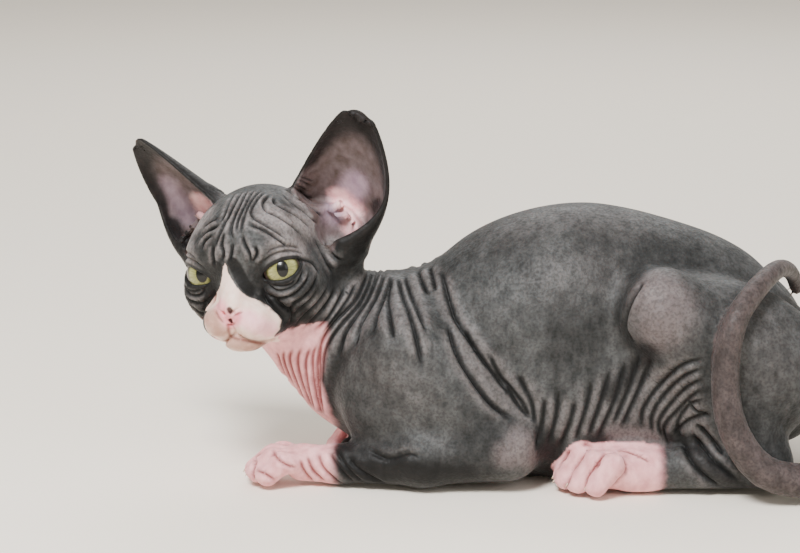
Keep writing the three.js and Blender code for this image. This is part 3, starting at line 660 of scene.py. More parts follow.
NOSE = (
    ((232.5, 316.5), (236, 315.2), (240, 313.2), (243.8, 311.4)),
    ((215.2, 309.6), (216.5, 313), (218.6, 317), (222, 321), (225.5, 324.3)),
    ((236, 322), (233, 324.5), (229, 325.2), (225, 324.5)),
)
CHEEK = (
    ((314, 238), (321, 251), (329, 266), (336, 275)),
    ((324, 239), (329, 250), (337, 259), (346, 262)),
    ((318, 288), (309, 301), (296, 311), (289, 323)),
    ((328, 287), (318, 302), (306, 314), (294, 327)),
    ((337, 286), (327, 303), (316, 316), (302, 331)),
    ((347, 284), (337, 303), (326, 319), (312, 333)),
    ((357, 279), (348, 299), (334, 318), (320, 335)),
    ((299, 259), (311, 262), (320, 274)),
    ((298, 299), (290, 308), (285, 313)),
)
EAR_ROOT = (
    ((283, 189), (290, 192), (298, 200)),
    ((287, 186), (295, 188), (304, 196)),
    ((290, 183), (299, 186), (309, 192)),
    ((293, 179), (302, 181), (312, 187)),
    ((295, 175), (304, 178), (314, 182)),
)
NECK = (
    ((369, 271), (356, 299), (335, 322), (323, 340), (318, 363), (319, 393), (329, 428)),
    ((374, 272), (360, 303), (341, 325), (327, 347), (323, 369), (325, 393)),
    ((379, 272), (368, 299), (356, 317), (344, 337), (338, 363)),
    ((385, 273), (377, 296), (370, 309), (360, 328), (355, 351)),
    ((392, 276), (385, 296), (377, 317), (372, 337)),
    ((393, 278), (388, 299), (390, 319), (395, 346)),
    ((397, 276), (403, 299), (413, 325), (419, 351), (423, 375)),
    ((404, 276), (411, 296), (423, 325), (426, 337)),
    ((418, 271), (422, 283), (428, 296)),
    ((429, 268), (433, 281), (436, 293)),
    ((440, 267), (448, 299), (457, 322), (473, 346), (494, 375), (516, 403)),
    ((446, 319), (455, 349), (467, 372), (491, 404), (517, 422)),
)
FLANK = (
    ((464, 328), (476, 351), (491, 372)),
    ((488, 351), (499, 375), (510, 387), (523, 404), (532, 422)),
    ((516, 372), (524, 387), (532, 404), (535, 428)),
    ((505, 381), (517, 404), (532, 419)),
    ((545, 395), (542, 422), (536, 451)),
    ((559, 387), (556, 416), (548, 445)),
    ((576, 398), (570, 422), (559, 450)),
    ((592, 378), (587, 404), (575, 442)),
    ((611, 366), (602, 398), (587, 439)),
    ((626, 357), (617, 393), (596, 442)),
    ((640, 351), (629, 387), (611, 428)),
    ((652, 357), (637, 393), (620, 431)),
)
KNEE = (
    ((646, 278), (631, 302), (626, 325), (634, 343)),
    ((710, 357), (681, 366), (658, 387), (643, 410), (642, 431)),
    ((709, 366), (684, 376), (664, 395), (652, 416), (653, 439)),
    ((708, 376), (687, 387), (673, 401), (659, 422), (664, 442)),
    ((708, 387), (693, 395), (678, 410), (664, 428), (670, 450)),
    ((706, 398), (690, 404), (678, 422), (681, 442)),
    ((687, 398), (696, 410), (711, 416)),
    ((709, 413), (690, 419), (673, 434)),
    ((690, 431), (702, 445), (717, 463), (740, 483)),
    ((681, 439), (693, 463), (711, 481), (734, 494)),
    ((696, 422), (711, 439), (725, 457)),
)
FOREARM = (
    ((367, 449), (388, 459), (409, 454), (423, 461)),
    ((335, 445), (344, 463), (365, 483), (388, 492)),
    ((329, 450), (338, 466), (352, 480), (372, 492)),
    ((343, 452), (360, 470), (384, 483), (410, 490)),
    ((318, 451), (323, 467), (336, 480), (350, 488)),
    ((307, 454), (313, 470), (328, 484)),
    ((300, 458), (305, 472), (318, 486)),
)
THROAT = (
    ((319, 340), (313, 357), (315, 387), (322, 416)),
    ((312, 343), (306, 363), (310, 393), (320, 420)),
    ((322, 337), (320, 366), (321, 398), (328, 434)),
    ((303, 344), (298, 360), (303, 384), (316, 415)),
    ((294, 346), (290, 360), (298, 384), (312, 412)),
    ((285, 348), (284, 360), (292, 380), (305, 402)),
    ((277, 350), (281, 364), (290, 382), (300, 396)),
)
PAWS = (
    ((566.3, 489), (572, 474.6), (581.7, 460), (588.5, 449.6)),
    ((585.6, 492), (586.6, 482.3), (593.3, 469.8), (602, 458.3), (607.7, 453.5)),
    ((609.6, 488), (619.3, 478.5), (626, 467.9), (623, 458.3), (615.4, 452.5)),
    ((559.6, 470), (564, 463.5), (569.2, 458.3)), ((614, 450.5), (627, 451.5), (641, 457), (652, 464)),
    ((264, 450), (257, 460), (254, 472), (256, 481)), ((272, 449), (279, 460), (290, 466), (300, 468)),
    ((256, 470), (264, 473), (276, 481)),
)

# %% From pixels to the skin
CAT_REACH = 330.0  # nothing of the cat lies further than this in front of the camera's aim
SIGHT_STEPS = 70
FOLD_FADE = 0.22  # of its length, in which a fold starts and ends
FOLD_REACH = 4.5  # of its widths, beyond which a fold changes nothing
ROLL_SHARE, ROLL_SPREAD, ROLL_MOST = 0.5, 5, 1.3  # share of the groove's depth, how far out, most height
WIDE_FOLD = 1.2  # a finer fold keeps a broader dark line, or it would be lost between the pixels


def on_skin(pixels):
    """Where sight lines through pixels meet the field: each walks forward by the distance it is told."""
    px = np.asarray(pixels, float)
    ray = view_in * focal_pixels + (px[:, :1] - PICTURE[0] / 2) * view_right
    ray = ray - (px[:, 1:] - PICTURE[1] / 2) * view_up
    ray = ray / np.linalg.norm(ray, axis=1)[:, None]
    reach = np.full(len(px), CAMERA_DISTANCE - CAT_REACH)
    for _ in range(SIGHT_STEPS):
        reach = reach + np.clip(flesh(camera_at + ray * reach[:, None]) * 0.8, -4, 12)
    hit = camera_at + ray * reach[:, None]
    return hit, np.abs(flesh(hit)) < 0.4


folds = []


def add_folds(lines, depth, width, mirror=None, other=1.0):
    """Casts lines on to the skin. mirror copies them to the other side of head or body, other as deep."""
    curves = [smooth_route(np.asarray(line, float), 6) for line in lines]
    hits, good = on_skin(np.vstack(curves))
    start = 0
    for curve in curves:
        keep = good[start : start + len(curve)]
        points = hits[start : start + len(curve)][keep]
        start += len(curve)
        if len(points) < 4:
            continue
        along = travelled(points)
        taper = ease(along, 0, FOLD_FADE) * ease(1 - along, 0, FOLD_FADE)
        folds.append((points, depth * taper, width))
        if mirror == "body":
            folds.append((mirrored(points), depth * taper * other, width))
        if mirror == "head":
            folds.append((from_head(mirrored(to_head(points))), depth * taper * other, width))


add_folds(FOREHEAD, 1.5, 0.8)
add_folds(UNDER_EYE, 1.1, 0.9, "head")
add_folds(BROW, 0.8, 0.9, "head")
add_folds(MUZZLE_EDGE, 1.4, 1.1, "head")
add_folds(NOSE, 0.7, 0.55)
add_folds(CHEEK, 1.1, 1.1, "head")
add_folds(EAR_ROOT, 0.8, 0.8, "head")
add_folds(NECK, 2.6, 1.5, "body", 0.9)
add_folds(FLANK, 1.7, 1.7, "body")
add_folds(KNEE, 1.9, 1.5, "body")
add_folds(FOREARM, 1.3, 1.3)
add_folds(THROAT, 1.9, 1.4, "body")
add_folds(PAWS, 1.0, 0.8, "body")


def add_clefts(foot, flip, depth, width):
    """Grooves between neighbouring toes, from the ball of the foot over the knuckles and down."""
    foot_ball, heading, toes, knuckle_height = foot[1], foot[3], foot[4], foot[5]
    for (reach_a, aside_a), (reach_b, aside_b) in zip(toes[:-1], toes[1:]):
        reach, aside = min(reach_a, reach_b), (aside_a + aside_b) / 2
        line = [
            toe_places(foot_ball, heading, reach - 18, aside * 0.8, knuckle_height + 4.0),
            toe_places(foot_ball, heading, reach - 9, aside, knuckle_height + 3.0),
            toe_places(foot_ball, heading, reach - 2, aside, TOE_RADIUS * 2 - 0.5),
            toe_places(foot_ball, heading, reach + 3.5, aside, TOE_RADIUS + 1.0),
            toe_places(foot_ball, heading, reach + 4.0, aside, 2.0),
        ]
        route = smooth_route(np.array(line), 4)
        route = settle(flesh, route, 6, 3.0)
        folds.append((route * (1, flip, 1), depth * ease(travelled(route), 0, 0.45), width))


for foot, flip in FEET:
    add_clefts(foot, flip, 2.1, 1.0)
print(len(folds), "folds")


def from_stretch(p, a, b):
    """The distance from each point to the straight stretch from a to b, and the share of it passed."""
    share = np.clip((p - a) @ (b - a) / ((b - a) @ (b - a) + TINY), 0, 1)
    return np.linalg.norm(p - a - share[:, None] * (b - a), axis=1), share


def fold_heights(p):
    """
    Groove depth, roll height and darkness at each point. At x widths from a fold its groove is
    exp(-1.1 x^1.4) deep, and the roll beside it is k exp(1 - k) high, with k = x^2 / 5.
    """
    groove, roll, dark = np.zeros(len(p)), np.zeros(len(p)), np.zeros(len(p))
    for points, depth, width in folds:
        reach = width * FOLD_REACH
        near = np.nonzero(((p > points.min(0) - reach) & (p < points.max(0) + reach)).all(1))[0]
        if not len(near):
            continue
        best, at = np.full(len(near), 1e9), np.zeros(len(near))
        for k in range(len(points) - 1):
            d, share = from_stretch(p[near], points[k], points[k + 1])
            closer = d < best
            best = np.where(closer, d, best)
            at = np.where(closer, depth[k] + (depth[k + 1] - depth[k]) * share, at)
        x = best / width
        groove[near] = np.maximum(groove[near], at * np.exp(-(x**1.4) * 1.1))
        roll[near] += at * ROLL_SHARE * (x**2 / ROLL_SPREAD) * np.exp(1 - x**2 / ROLL_SPREAD)
        narrow = 2.2 if width > WIDE_FOLD else 1.3
        dark[near] = np.maximum(dark[near], np.minimum(at, 1) * np.exp(-narrow * x**2))
    return groove, np.minimum(roll, ROLL_MOST), dark


# %% [markdown]
# ## The skin's mesh
# The net starts at 3 mm and is halved where it needs to be: to about half a millimetre round the eyes, nose
# and mouth, to 0.7 mm along the folds of the head and 1 mm along the others, while smooth skin keeps 3 mm.

# %% The skin's mesh
CELL = 3.0
net_axes = [np.arange(low, high, CELL) for low, high in ((-147.3, 262), (-84.6, 84), (-4.7, 212))]
points, quads = surface_net(lambda p: flesh(p, 4.0), net_axes)
faces = np.vstack([quads[:, :3], quads[:, [0, 2, 3]]])
uses = np.unique(np.sort(triangle_edges(faces), 1), axis=0, return_counts=True)[1]
print("first net:", len(faces), "triangles,", int((uses != 2).sum()), "edges without exactly two")
points = settle(flesh, points)
NOSE_AT = (36, 0, -20)
LONGEST = {  # millimetres that an edge may have at each kind of place
    "body": 3.2, "head": 1.7, "foot": 1.7, "ear": 1.6, "fold": 1.0, "ear pocket": 0.8, "head fold": 0.7,
    "face": 0.62,
}


def longest_edge(p):
    """The edge length wanted at each place, from the head's fine parts and the distance to the folds."""
    q = folded_over(to_head(p))
    d = np.linalg.norm(q - (4, 0, 0), axis=1)
    size = np.where(d < 48, LONGEST["head"], LONGEST["body"])
    size = np.where(both_ears(p) < 2.5, LONGEST["ear"], size)
    groove = fold_heights(p)[0]
    size = np.where((groove > 0.12) & (d < 60), np.minimum(size, LONGEST["head fold"]), size)
    size = np.where(groove > 0.3, np.minimum(size, LONGEST["fold"]), size)
    size = np.where(np.linalg.norm(q - (-23, 42, 21), axis=1) < 11, LONGEST["ear pocket"], size)
    for at in ((-62, 36, 8), (-40, 5, 8), (88, 54, 10)):
        in_foot = np.linalg.norm(folded_over(p) - at, axis=1) < 26
        size = np.where(in_foot, np.minimum(size, LONGEST["foot"]), size)
    eye = np.linalg.norm(q - EYE_AT - EYE_LOOK * EYE_RADIUS, axis=1)
    nose = np.linalg.norm(q - NOSE_AT, axis=1)
    mouth = np.abs(q[:, 2] - mouth_height(q[:, 1])) + np.clip(12 - q[:, 0], 0, 99)
    return np.where((eye < 12) | (nose < 11) | (mouth < 2), LONGEST["face"], size)


for _ in range(3):
    points, faces = split_long(points, faces, longest_edge)
    points = settle(flesh, relax(points, faces), 2)
for _ in range(6):
    stuck = np.abs(flesh(points)) > 0.25
    points = np.where(stuck[:, None], relax(points, faces, 1.0), points)
    points[stuck] = settle(flesh, points[stuck], 1)
print(int(stuck.sum()), "points still off the field")
print(len(faces), "triangles")

rest = points
outward = slope_of(flesh, points)
outward = outward / np.linalg.norm(outward, axis=1)[:, None]
groove, roll, crease = fold_heights(points)
off_floor = ease(points[:, 2], 0.5, 6)
points = points + outward * ((roll - groove) * off_floor)[:, None]
points[:, 2] = np.maximum(points[:, 2], 0)

# %% [markdown]
# ## Markings
# The colours of a sphynx are in its skin: grey on the back, pink on throat and feet, a cream blaze with
# black beside it, ears pink inside and black at the rim. They could be painted, but paint needs an image.
# Here each mark is a number at each point of the mesh, worked out from where it lies on the animal, and the
# material breaks its edge with noise.

# %% Marks by line


def near_lines(p, lines, reach=16.0):
    """The distance from each point to the nearest of some lines cast on to the skin, up to reach."""
    best = np.full(len(p), reach)
    for line in lines:
        route, good = on_skin(smooth_route(np.asarray(line, float), 3))
        route = route[good]
        if len(route) < 2:
            continue
        near = np.nonzero(((p > route.min(0) - reach) & (p < route.max(0) + reach)).all(1))[0]
        for a, b in zip(route[:-1], route[1:]):
            best[near] = np.minimum(best[near], from_stretch(p[near], a, b)[0])
    return best


def soft_mark(p, lines, width, other_side=None):
    """1 on the lines, fading to 0 at width. other_side also marks the mirrored place of head or body."""
    d = near_lines(p, lines, width)
    if other_side == "body":
        d = np.minimum(d, near_lines(mirrored(p), lines, width))
    if other_side == "head":
        d = np.minimum(d, near_lines(from_head(mirrored(to_head(p))), lines, width))
    return 1 - ease(d, 0, width)


# %% Marks of the face
head_rest = to_head(rest)
x, side_y, z = head_rest.T
on_head = (np.linalg.norm(head_rest - (4, 0, -4), axis=1) < 52) * 1.0
slit, slit_depth = lid_gap(folded_over(head_rest))
BLAZE_LEFT = (
    (225, 262.3), (223, 266), (222.5, 275.7), (220.3, 286.4), (215.7, 293.6), (211.3, 302.5), (206.8, 310.5),
    (205, 315.9),
)
BLAZE_RIGHT = (
    (226.6, 263), (227.2, 271), (231.8, 280), (239, 290), (249, 297.4), (259.5, 301.8), (269.3, 307.9),
    (276.4, 315), (280.9, 320.4), (280, 329.3), (277.3, 336.4),
)


def edge_of_blaze(pixels, below):
    """How far aside the blaze reaches at each height of the face, from its edge in the picture."""
    places = to_head(on_skin(pixels)[0])
    places = places[np.argsort(places[:, 2])]
    return np.interp(z, np.append(-38, places[:, 2]), np.append(below, places[:, 1]))


blaze = np.minimum(side_y - edge_of_blaze(BLAZE_LEFT, -12), edge_of_blaze(BLAZE_RIGHT, 12) - side_y)
blaze_top = to_head(on_skin(BLAZE_LEFT[:1])[0])[0, 2]
cream = ease(blaze, -1.2, 1.2) * ease(blaze_top - z, -1.5, 1.5)
cream = cream * ease(x, 4, 12) * ease(z, -44, -39) * on_head
# Painted shade on the far pad and under the chin, in brownish tones.
FAR_PAD_AND_CHIN = (
    ((211, 314), (214, 324), (220, 333)), ((230, 343), (246, 348), (262, 348)), ((205, 316), (209, 322)),
)
far_pad_and_chin_shade = soft_mark(rest, FAR_PAD_AND_CHIN, 9)
nose_pink = soft_mark(rest, [((219, 303), (224, 312), (231, 322), (238, 318))], 6.5)
pad_pink = soft_mark(rest, [((246, 318), (258, 326), (270, 331))], 9)
nose_dark = soft_mark(rest, [((229.4, 309.5), (230.6, 311.5))], 2.9)
nose_dark = np.maximum(nose_dark, soft_mark(rest, [((230, 319.4), (231.4, 321.4))], 2.4) * 0.9)
BESIDE_BLAZE = (
    ((217, 266), (216, 276), (214.5, 287), (209, 301)),
    ((233, 263), (237, 270), (242, 280), (250, 291)),
    ((262, 300), (272, 305), (281, 313), (286, 322)),
)
lids = (1 - ease(slit, 0.6, 2.6)) * ease(slit_depth, -1, 3) * on_head
black_and_shadow = np.maximum(lids, ease(soft_mark(rest, BESIDE_BLAZE, 6.0), 0.1, 0.8)) * (1 - 0.9 * cream)
CHEEK_DARK = (((266, 300), (276, 306), (288, 318), (294, 326)), ((300, 306), (306, 312), (310, 321)))
black_and_shadow = np.maximum(black_and_shadow, soft_mark(rest, CHEEK_DARK, 6.5) * 0.75 * (1 - 0.9 * cream))
LIP_LINES = (
    ((228.2, 325), (228.7, 331), (230, 335), (231.8, 337.3)),
    ((231.8, 337.3), (242.5, 340), (251.4, 341.8), (260.4, 343.4), (266, 344)),
    ((231.8, 337.3), (228, 339.5), (224.6, 340.9)),
)
crease = np.maximum(crease, soft_mark(rest, LIP_LINES, 1.7) * 0.8)

# %% Marks of the ears
ear_field = {side: ear(head_rest, side) for side in (1, -1)}
ear_inside, ear_rim, ear_back = (np.zeros(len(rest)) for _ in range(3))
for side in (1, -1):
    sheet, edge, h, _ = ear_parts(head_rest, side)
    aside = ear_places(head_rest, side)[1]
    here = (ear_field[side] < 3) | ((sheet < -1) & (h < 0.45) & (h > -0.2))
    in_cup = here * ease(-sheet, -0.3, 0.5) * ease(-edge, -3, 0) * ease(h, -0.17, -0.05)
    ear_inside = np.maximum(ear_inside, in_cup)
    at_rim = 1 - ease(-edge, 2.0, 8.5)
    at_tip = ease(h, 0.84, 0.97)
    outer = np.where(aside > 0, ease(h, -0.12, 0.05), ease(h, 0.22, 0.45))
    ear_rim = np.maximum(ear_rim, here * np.maximum(at_rim * outer * ease(-edge, -4, -1), at_tip))
    ear_back = np.maximum(ear_back, (ear_field[side] < 2) * ease(sheet, -0.2, 0.6) * ease(h, 0.0, 0.25))
EAR_PALE = (((356, 182), (350, 192), (342, 202), (336, 214)), ((168, 184), (178, 198), (190, 214)))
EAR_PINK = (((338, 196), (346, 204), (354, 214), (350, 226)), ((200, 200), (206, 212), (202, 226)))
EAR_POCKET = (((377, 208), (375, 222), (370, 236), (362, 248)), ((173, 226), (178, 238), (186, 246)))
ear_pale = soft_mark(rest, EAR_PALE, 12) * np.where(side_y > 0, 1, 0.6)
ear_pink = soft_mark(rest, EAR_PINK, 9)
# Painted shade: the deep pocket at the outer foot of each ear is drawn black.
black_and_shadow = np.maximum(black_and_shadow, soft_mark(rest, EAR_POCKET, 10.5))
print("cream", int((cream > 0.5).sum()), "black_and_shadow", int((black_and_shadow > 0.5).sum()), "points")

# %% Marks of the body
wx, wy, wz = rest.T
as_left = mirrored(folded_over(rest))
throat_edge = np.interp(wz, (0, 28, 53, 80, 96), (-30, -34, -40, -36, -44))
throat = ease(throat_edge - wx, -4, 5) * ease(98 - wz, 0, 14) * ease(60 - np.abs(wy), 0, 20)
throat = throat * ease(wz, 4, 26) * ease(ear_field[1], 4, 12) * (1 - ease(wz, 60, 98) * (z > -30))
fore_feet = ease(-34 - wx, -8, 8) * ease(34 - wz, 0, 6) * (wy < 5)
folded_feet = ease(-8 - wx, -6, 6) * ease(30 - wz, 0, 6) * (wy >= 0)
hind_form = np.minimum(paw(as_left, *HIND_PAW), bone(as_left, *HIND_FOOT))
hind_feet = ease(132 - wx, -7, 7) * ease(4.2 - hind_form, 0, 2.0)
pink = np.clip(np.maximum.reduce([throat, fore_feet, folded_feet, hind_feet]), 0, 1)
tail_tint = ease(2.5 - within(tail, rest, (150, -100, 0), (265, 30, 130)), 0, 2.2)
KNEE_TOP = (((652, 290), (668, 305), (660, 325)),)
ELBOW_TIP = (((508, 456), (522, 454), (532, 454)), ((520, 440), (530, 446)))
BELLY_SKIN = (((612, 436), (640, 438), (660, 444)),)
warm = np.maximum(soft_mark(rest, KNEE_TOP, 27, "body"), soft_mark(rest, ELBOW_TIP, 13, "body"))
warm = np.maximum(warm, soft_mark(rest, BELLY_SKIN, 11, "body") * (1 - pink))
# Paler skin with painted highlight: the temples, brow, forehead and crown, and weakly the top of the back and
# the rump, are drawn lighter where light falls.
PALE_AND_LIT_HEAD = (
    ((318, 226), (326, 236), (330, 246)), ((284, 246), (296, 246)), ((270, 214), (282, 222)),
    ((300, 222), (312, 222)), ((300, 200), (310, 208)),
)
PALE_AND_LIT_BODY = (
    ((744, 296), (764, 330), (770, 370)), ((510, 228), (570, 216), (620, 222)), ((386, 372), (410, 392)),
    ((600, 270), (560, 275)),
)
pale_and_lit = np.maximum(soft_mark(rest, PALE_AND_LIT_HEAD, 15, "head"), soft_mark(rest, PALE_AND_LIT_BODY, 34, "body") * 0.22)
# Painted highlight: the crest of every fold beside a groove is drawn paler, more strongly on the head.
crest_highlight = np.clip(roll, 0, 1) * (1 - crease)
pale_and_lit = np.maximum(pale_and_lit, crest_highlight * np.where(on_head > 0, 0.62, 0.4))
# Painted shade where shade falls: under the eyes, along the muzzle, below the ear, round the knee, between
# the elbow and the hind foot, beside the throat, and under the forearm and the belly.
SHADE_HEAD = (
    ((262, 288), (276, 300), (292, 312)), ((296, 318), (306, 326), (316, 322)), ((300, 292), (312, 286)),
    ((360, 246), (352, 258), (342, 270), (330, 284)), ((258, 272), (262, 284)),
)
SHADE_BODY = (
    ((640, 272), (626, 296), (622, 322), (630, 342)),
    ((540, 436), (545, 450), (556, 462)), ((560, 462), (600, 440)),
    ((340, 360), (330, 392), (334, 424), (344, 446)),
    ((676, 436), (694, 452), (716, 474), (738, 488)),
    ((648, 350), (630, 372), (612, 392)),
)
# Painted shadow: the undersides of the forearm and the belly are drawn black and in shade tones.
UNDERSIDE = (
    ((336, 450), (348, 464), (368, 478), (398, 487)), ((398, 487), (430, 490), (476, 485)),
    ((366, 462), (396, 471), (432, 476), (466, 478)), ((546, 446), (552, 466), (560, 476)),
)
shade = soft_mark(rest, SHADE_HEAD, 9, "head")
shade = np.maximum(shade, soft_mark(rest, SHADE_BODY, 10, "body"))
shade = np.maximum(shade, soft_mark(rest, UNDERSIDE, 15, "body"))
black_and_shadow = np.maximum(black_and_shadow, soft_mark(rest, UNDERSIDE, 14, "body") * 0.9 * (1 - pink))
# The backs of the ears are darker skin, and take part of these dark tones.
black_and_shadow = np.maximum(black_and_shadow, ear_back * 0.6)
shade = np.maximum(shade, ear_back * 0.8) * (1 - pink)
print("pink", int((pink > 0.5).sum()), "shaded", int((shade > 0.5).sum()), "points")

# %% Meshes and materials


def new_mesh(name, places, mesh_faces):
    """A smooth-shaded mesh object at the origin, from points in millimetres and lists of faces."""
    mesh = bpy.data.meshes.new(name)
    mesh.from_pydata(in_metres(places), [], mesh_faces)
    mesh.polygons.foreach_set("use_smooth", np.full(len(mesh.polygons), True))
    mesh.update()
    piece = bpy.data.objects.new(name, mesh)
    bpy.context.scene.collection.objects.link(piece)
    return piece


def set_attribute(piece, name, values):
    """One number for each point of a piece, which its material can read."""
    attribute = piece.data.attributes.new(name, "FLOAT", "POINT")
    attribute.data.foreach_set("value", np.asarray(values, np.float32))


def colour(hex_code):
    """An sRGB hex value as the linear colour that a shader wants."""
    channels = np.array([int(hex_code[i : i + 2], 16) for i in (1, 3, 5)]) / 255
    linear = np.where(channels <= 0.04045, channels / 12.92, ((channels + 0.055) / 1.055) ** 2.4)
    return (*linear.tolist(), 1.0)


def new_material(name):
    """An empty material, its node tree, and its shader."""
    material = bpy.data.materials.new(name)
    material.use_nodes = True
    tree = material.node_tree
    return material, tree, tree.nodes["Principled BSDF"]


def add(tree, kind, inputs=(), out=0, **settings):
    """Adds a node with its settings, sets or links its inputs by name or number, and gives one output."""
    node = tree.nodes.new("ShaderNode" + kind)
    for key, value in settings.items():
        setattr(node, key, value)
    for key, value in dict(inputs).items():
        if isinstance(value, bpy.types.NodeSocket):
            tree.links.new(value, node.inputs[key])
        else:
            node.inputs[key].default_value = value
    return node.outputs[out]


FAC, A, B = 0, 6, 7  # the inputs of a Mix node of colours: the share of the second, and the two
# Some of the marks are painted light and shade: highlights on the head, the fold crests and the back, and
# shade under the eyes, the chin, the forearm and the belly.
RGBA = {"out": 2, "data_type": "RGBA"}  # its setting, and the output that carries the mixed colour
skin = new_mesh("skin", points, faces.tolist())
marks = {
    "crease": crease, "pale_and_lit": pale_and_lit, "shade": shade, "warm": warm, "tail": tail_tint, "pink": pink,
    "cream": cream, "far_pad_and_chin_shade": far_pad_and_chin_shade * cream, "pad_pink": pad_pink * cream,
    "nose_pink": nose_pink * cream, "nose_dark": nose_dark, "black_and_shadow": black_and_shadow, "ear_inside": ear_inside,
    "ear_pale": ear_pale * ear_inside, "ear_pink": ear_pink * ear_inside, "ear_rim": ear_rim,
}
for name, values in marks.items():
    set_attribute(skin, name, values)
print(len(marks), "marks on", len(points), "points")

# %% [markdown]
# ## Skin
# Hairless skin is soft, matt and finely grained like suede, with a warm glow where it is thin. Its grain is
# a speckle of under a millimetre, a mottle of about two and clouds of fifteen, all from noise on Object
# coordinates, so they stay the same size all over the body. The mottle and the clouds are drawn out upwards.
# Each marking is a layer with two tones and an edge that noise makes ragged, over skin that is dark grey.
# Folds are darker inside, because less light and more grease collect there.

# %% Skin material
SUEDE_GRAIN_MM = 0.75  # fine down and pores, drawn a little coarser than they are so that they show
MOTTLE_MM = 2.3
EDGE_MM = 2.0
PATCH_MM = 15.0
RELIEF_MM = 0.4
GLOW_MM = 3.0  # how far light travels in the skin
SCALE = 500  # of a noise whose spots are a millimetre wide: its cells hold two, and a metre holds 500 cells
skin_material, tree, shader = new_material("suede_skin")
place = add(tree, "TexCoord", out="Object")
drawn_out = add(tree, "VectorMath", {0: place, 1: (1.0, 1.0, 0.62)}, operation="MULTIPLY")
grain = add(tree, "TexNoise", {"Vector": place, "Scale": SCALE / SUEDE_GRAIN_MM, "Detail": 2.0})
mottle = add(tree, "TexNoise", {"Vector": drawn_out, "Scale": SCALE / MOTTLE_MM, "Detail": 3.0})
ragged = add(tree, "TexNoise", {"Vector": place, "Scale": SCALE / EDGE_MM, "Detail": 4.0, "Roughness": 0.65})
patch = add(tree, "TexNoise", {"Vector": drawn_out, "Scale": SCALE / PATCH_MM, "Detail": 3.0})
spots = add(tree, "MapRange", {"Value": mottle, "From Min": 0.32, "From Max": 0.68})
clouds = add(tree, "MapRange", {"Value": patch, "From Min": 0.4, "From Max": 0.62})
grey = add(tree, "Mix", {FAC: spots, A: colour("#1b1c1c"), B: colour("#343434")}, **RGBA)
lighter = add(tree, "Mix", {FAC: spots, A: colour("#313232"), B: colour("#4b4b4b")}, **RGBA)
base = add(tree, "Mix", {FAC: clouds, A: grey, B: lighter}, **RGBA)
GREY_LAYERS = (  # a marking, the softness of its edge, its strength, and its two tones
    # The first layer is paler skin with painted highlight on the head, the crests of folds and the back.
    ("pale_and_lit", 1.0, 0.85, "#756e6d", "#938b8a"),
    ("warm", 1.0, 0.75, "#655b5b", "#736a6a"),
    ("tail", 0.6, 1.0, "#352e2d", "#4f4544"),
    # painted shade, with the dark backs of the ears
    ("shade", 1.0, 0.85, "#0d0d0d", "#1a1a1a"),
)
BARE_LAYERS = (
    ("pink", 0.7, 1.0, "#d29497", "#ecb2b4"),
    ("cream", 0.35, 1.0, "#e4c2b4", "#f0d7ca"),
    # painted shade on the far pad and under the chin
    ("far_pad_and_chin_shade", 1.0, 0.9, "#a0796a", "#b48e7f"),
    ("pad_pink", 1.0, 0.95, "#e8acb2", "#f2c0c4"),
    ("nose_pink", 1.0, 0.95, "#de8993", "#ea9fa7"),
    ("nose_dark", 0.6, 0.95, "#2a1414", "#3a1c1c"),
    ("ear_inside", 0.6, 1.0, "#4a3d3a", "#66595a"),
    ("ear_pale", 1.0, 0.9, "#937c8c", "#ad95a2"),
    ("ear_pink", 0.9, 0.95, "#e0a2a6", "#f2c6c6"),
    # black skin of the lids, the blaze and the cheek, with painted shadow under the body and in the ear
    # pockets
    ("black_and_shadow", 0.6, 0.95, "#080808", "#151414"),
    ("ear_rim", 0.8, 0.95, "#080707", "#171413"),
)
for layers in (GREY_LAYERS, BARE_LAYERS):
    for name, soft, strength, low, high in layers:
        value = add(tree, "Attribute", out="Fac", attribute_name=name)
        shake = 0.9 * (1 - soft)
        shaken = add(tree, "Math", {0: ragged, 1: shake, 2: value}, operation="MULTIPLY_ADD")
        middle = 0.5 + shake / 2
        ends = {"From Min": middle - soft / 2, "From Max": middle + soft / 2, "To Max": strength}
        amount = add(tree, "MapRange", {"Value": shaken, **ends}, interpolation_type="SMOOTHSTEP")
        tones = add(tree, "Mix", {FAC: spots, A: colour(low), B: colour(high)}, **RGBA)
        base = add(tree, "Mix", {FAC: amount, A: base, B: tones}, **RGBA)
    if layers is GREY_LAYERS:
        speck = add(tree, "MapRange", {"Value": grain, "From Min": 0.44, "From Max": 0.62, "To Max": 0.33})
        base = add(tree, "Mix", {FAC: speck, A: base, B: colour("#3c3836")}, **RGBA, blend_type="MULTIPLY")
bare = add(tree, "Attribute", out="Fac", attribute_name="pink")
in_fold = add(tree, "Mix", {FAC: bare, A: colour("#171413"), B: colour("#8c6461")}, **RGBA)
on_muzzle = add(tree, "Attribute", out="Fac", attribute_name="cream")
in_fold = add(tree, "Mix", {FAC: on_muzzle, A: in_fold, B: colour("#8e5a54")}, **RGBA)
creased = add(tree, "Attribute", out="Fac", attribute_name="crease")
base = add(tree, "Mix", {FAC: creased, A: base, B: in_fold}, **RGBA, blend_type="MULTIPLY")
tree.links.new(base, shader.inputs["Base Color"])
height = add(tree, "Math", {0: mottle, 1: 1.4, 2: grain}, operation="MULTIPLY_ADD")
bump = add(tree, "Bump", {"Height": height, "Strength": 0.6, "Distance": RELIEF_MM / 1000})
tree.links.new(bump, shader.inputs["Normal"])
rough = add(tree, "MapRange", {"Value": grain, "From Min": 0.3, "To Min": 0.45, "To Max": 0.75})
tree.links.new(rough, shader.inputs["Roughness"])
shader.inputs["IOR"].default_value = 1.4
shader.inputs["Specular IOR Level"].default_value = 0.28
shader.inputs["Sheen Weight"].default_value = 0.05
shader.inputs["Sheen Roughness"].default_value = 0.5
shader.inputs["Subsurface Weight"].default_value = 0.12
shader.inputs["Subsurface Radius"].default_value = (1.0, 0.35, 0.2)
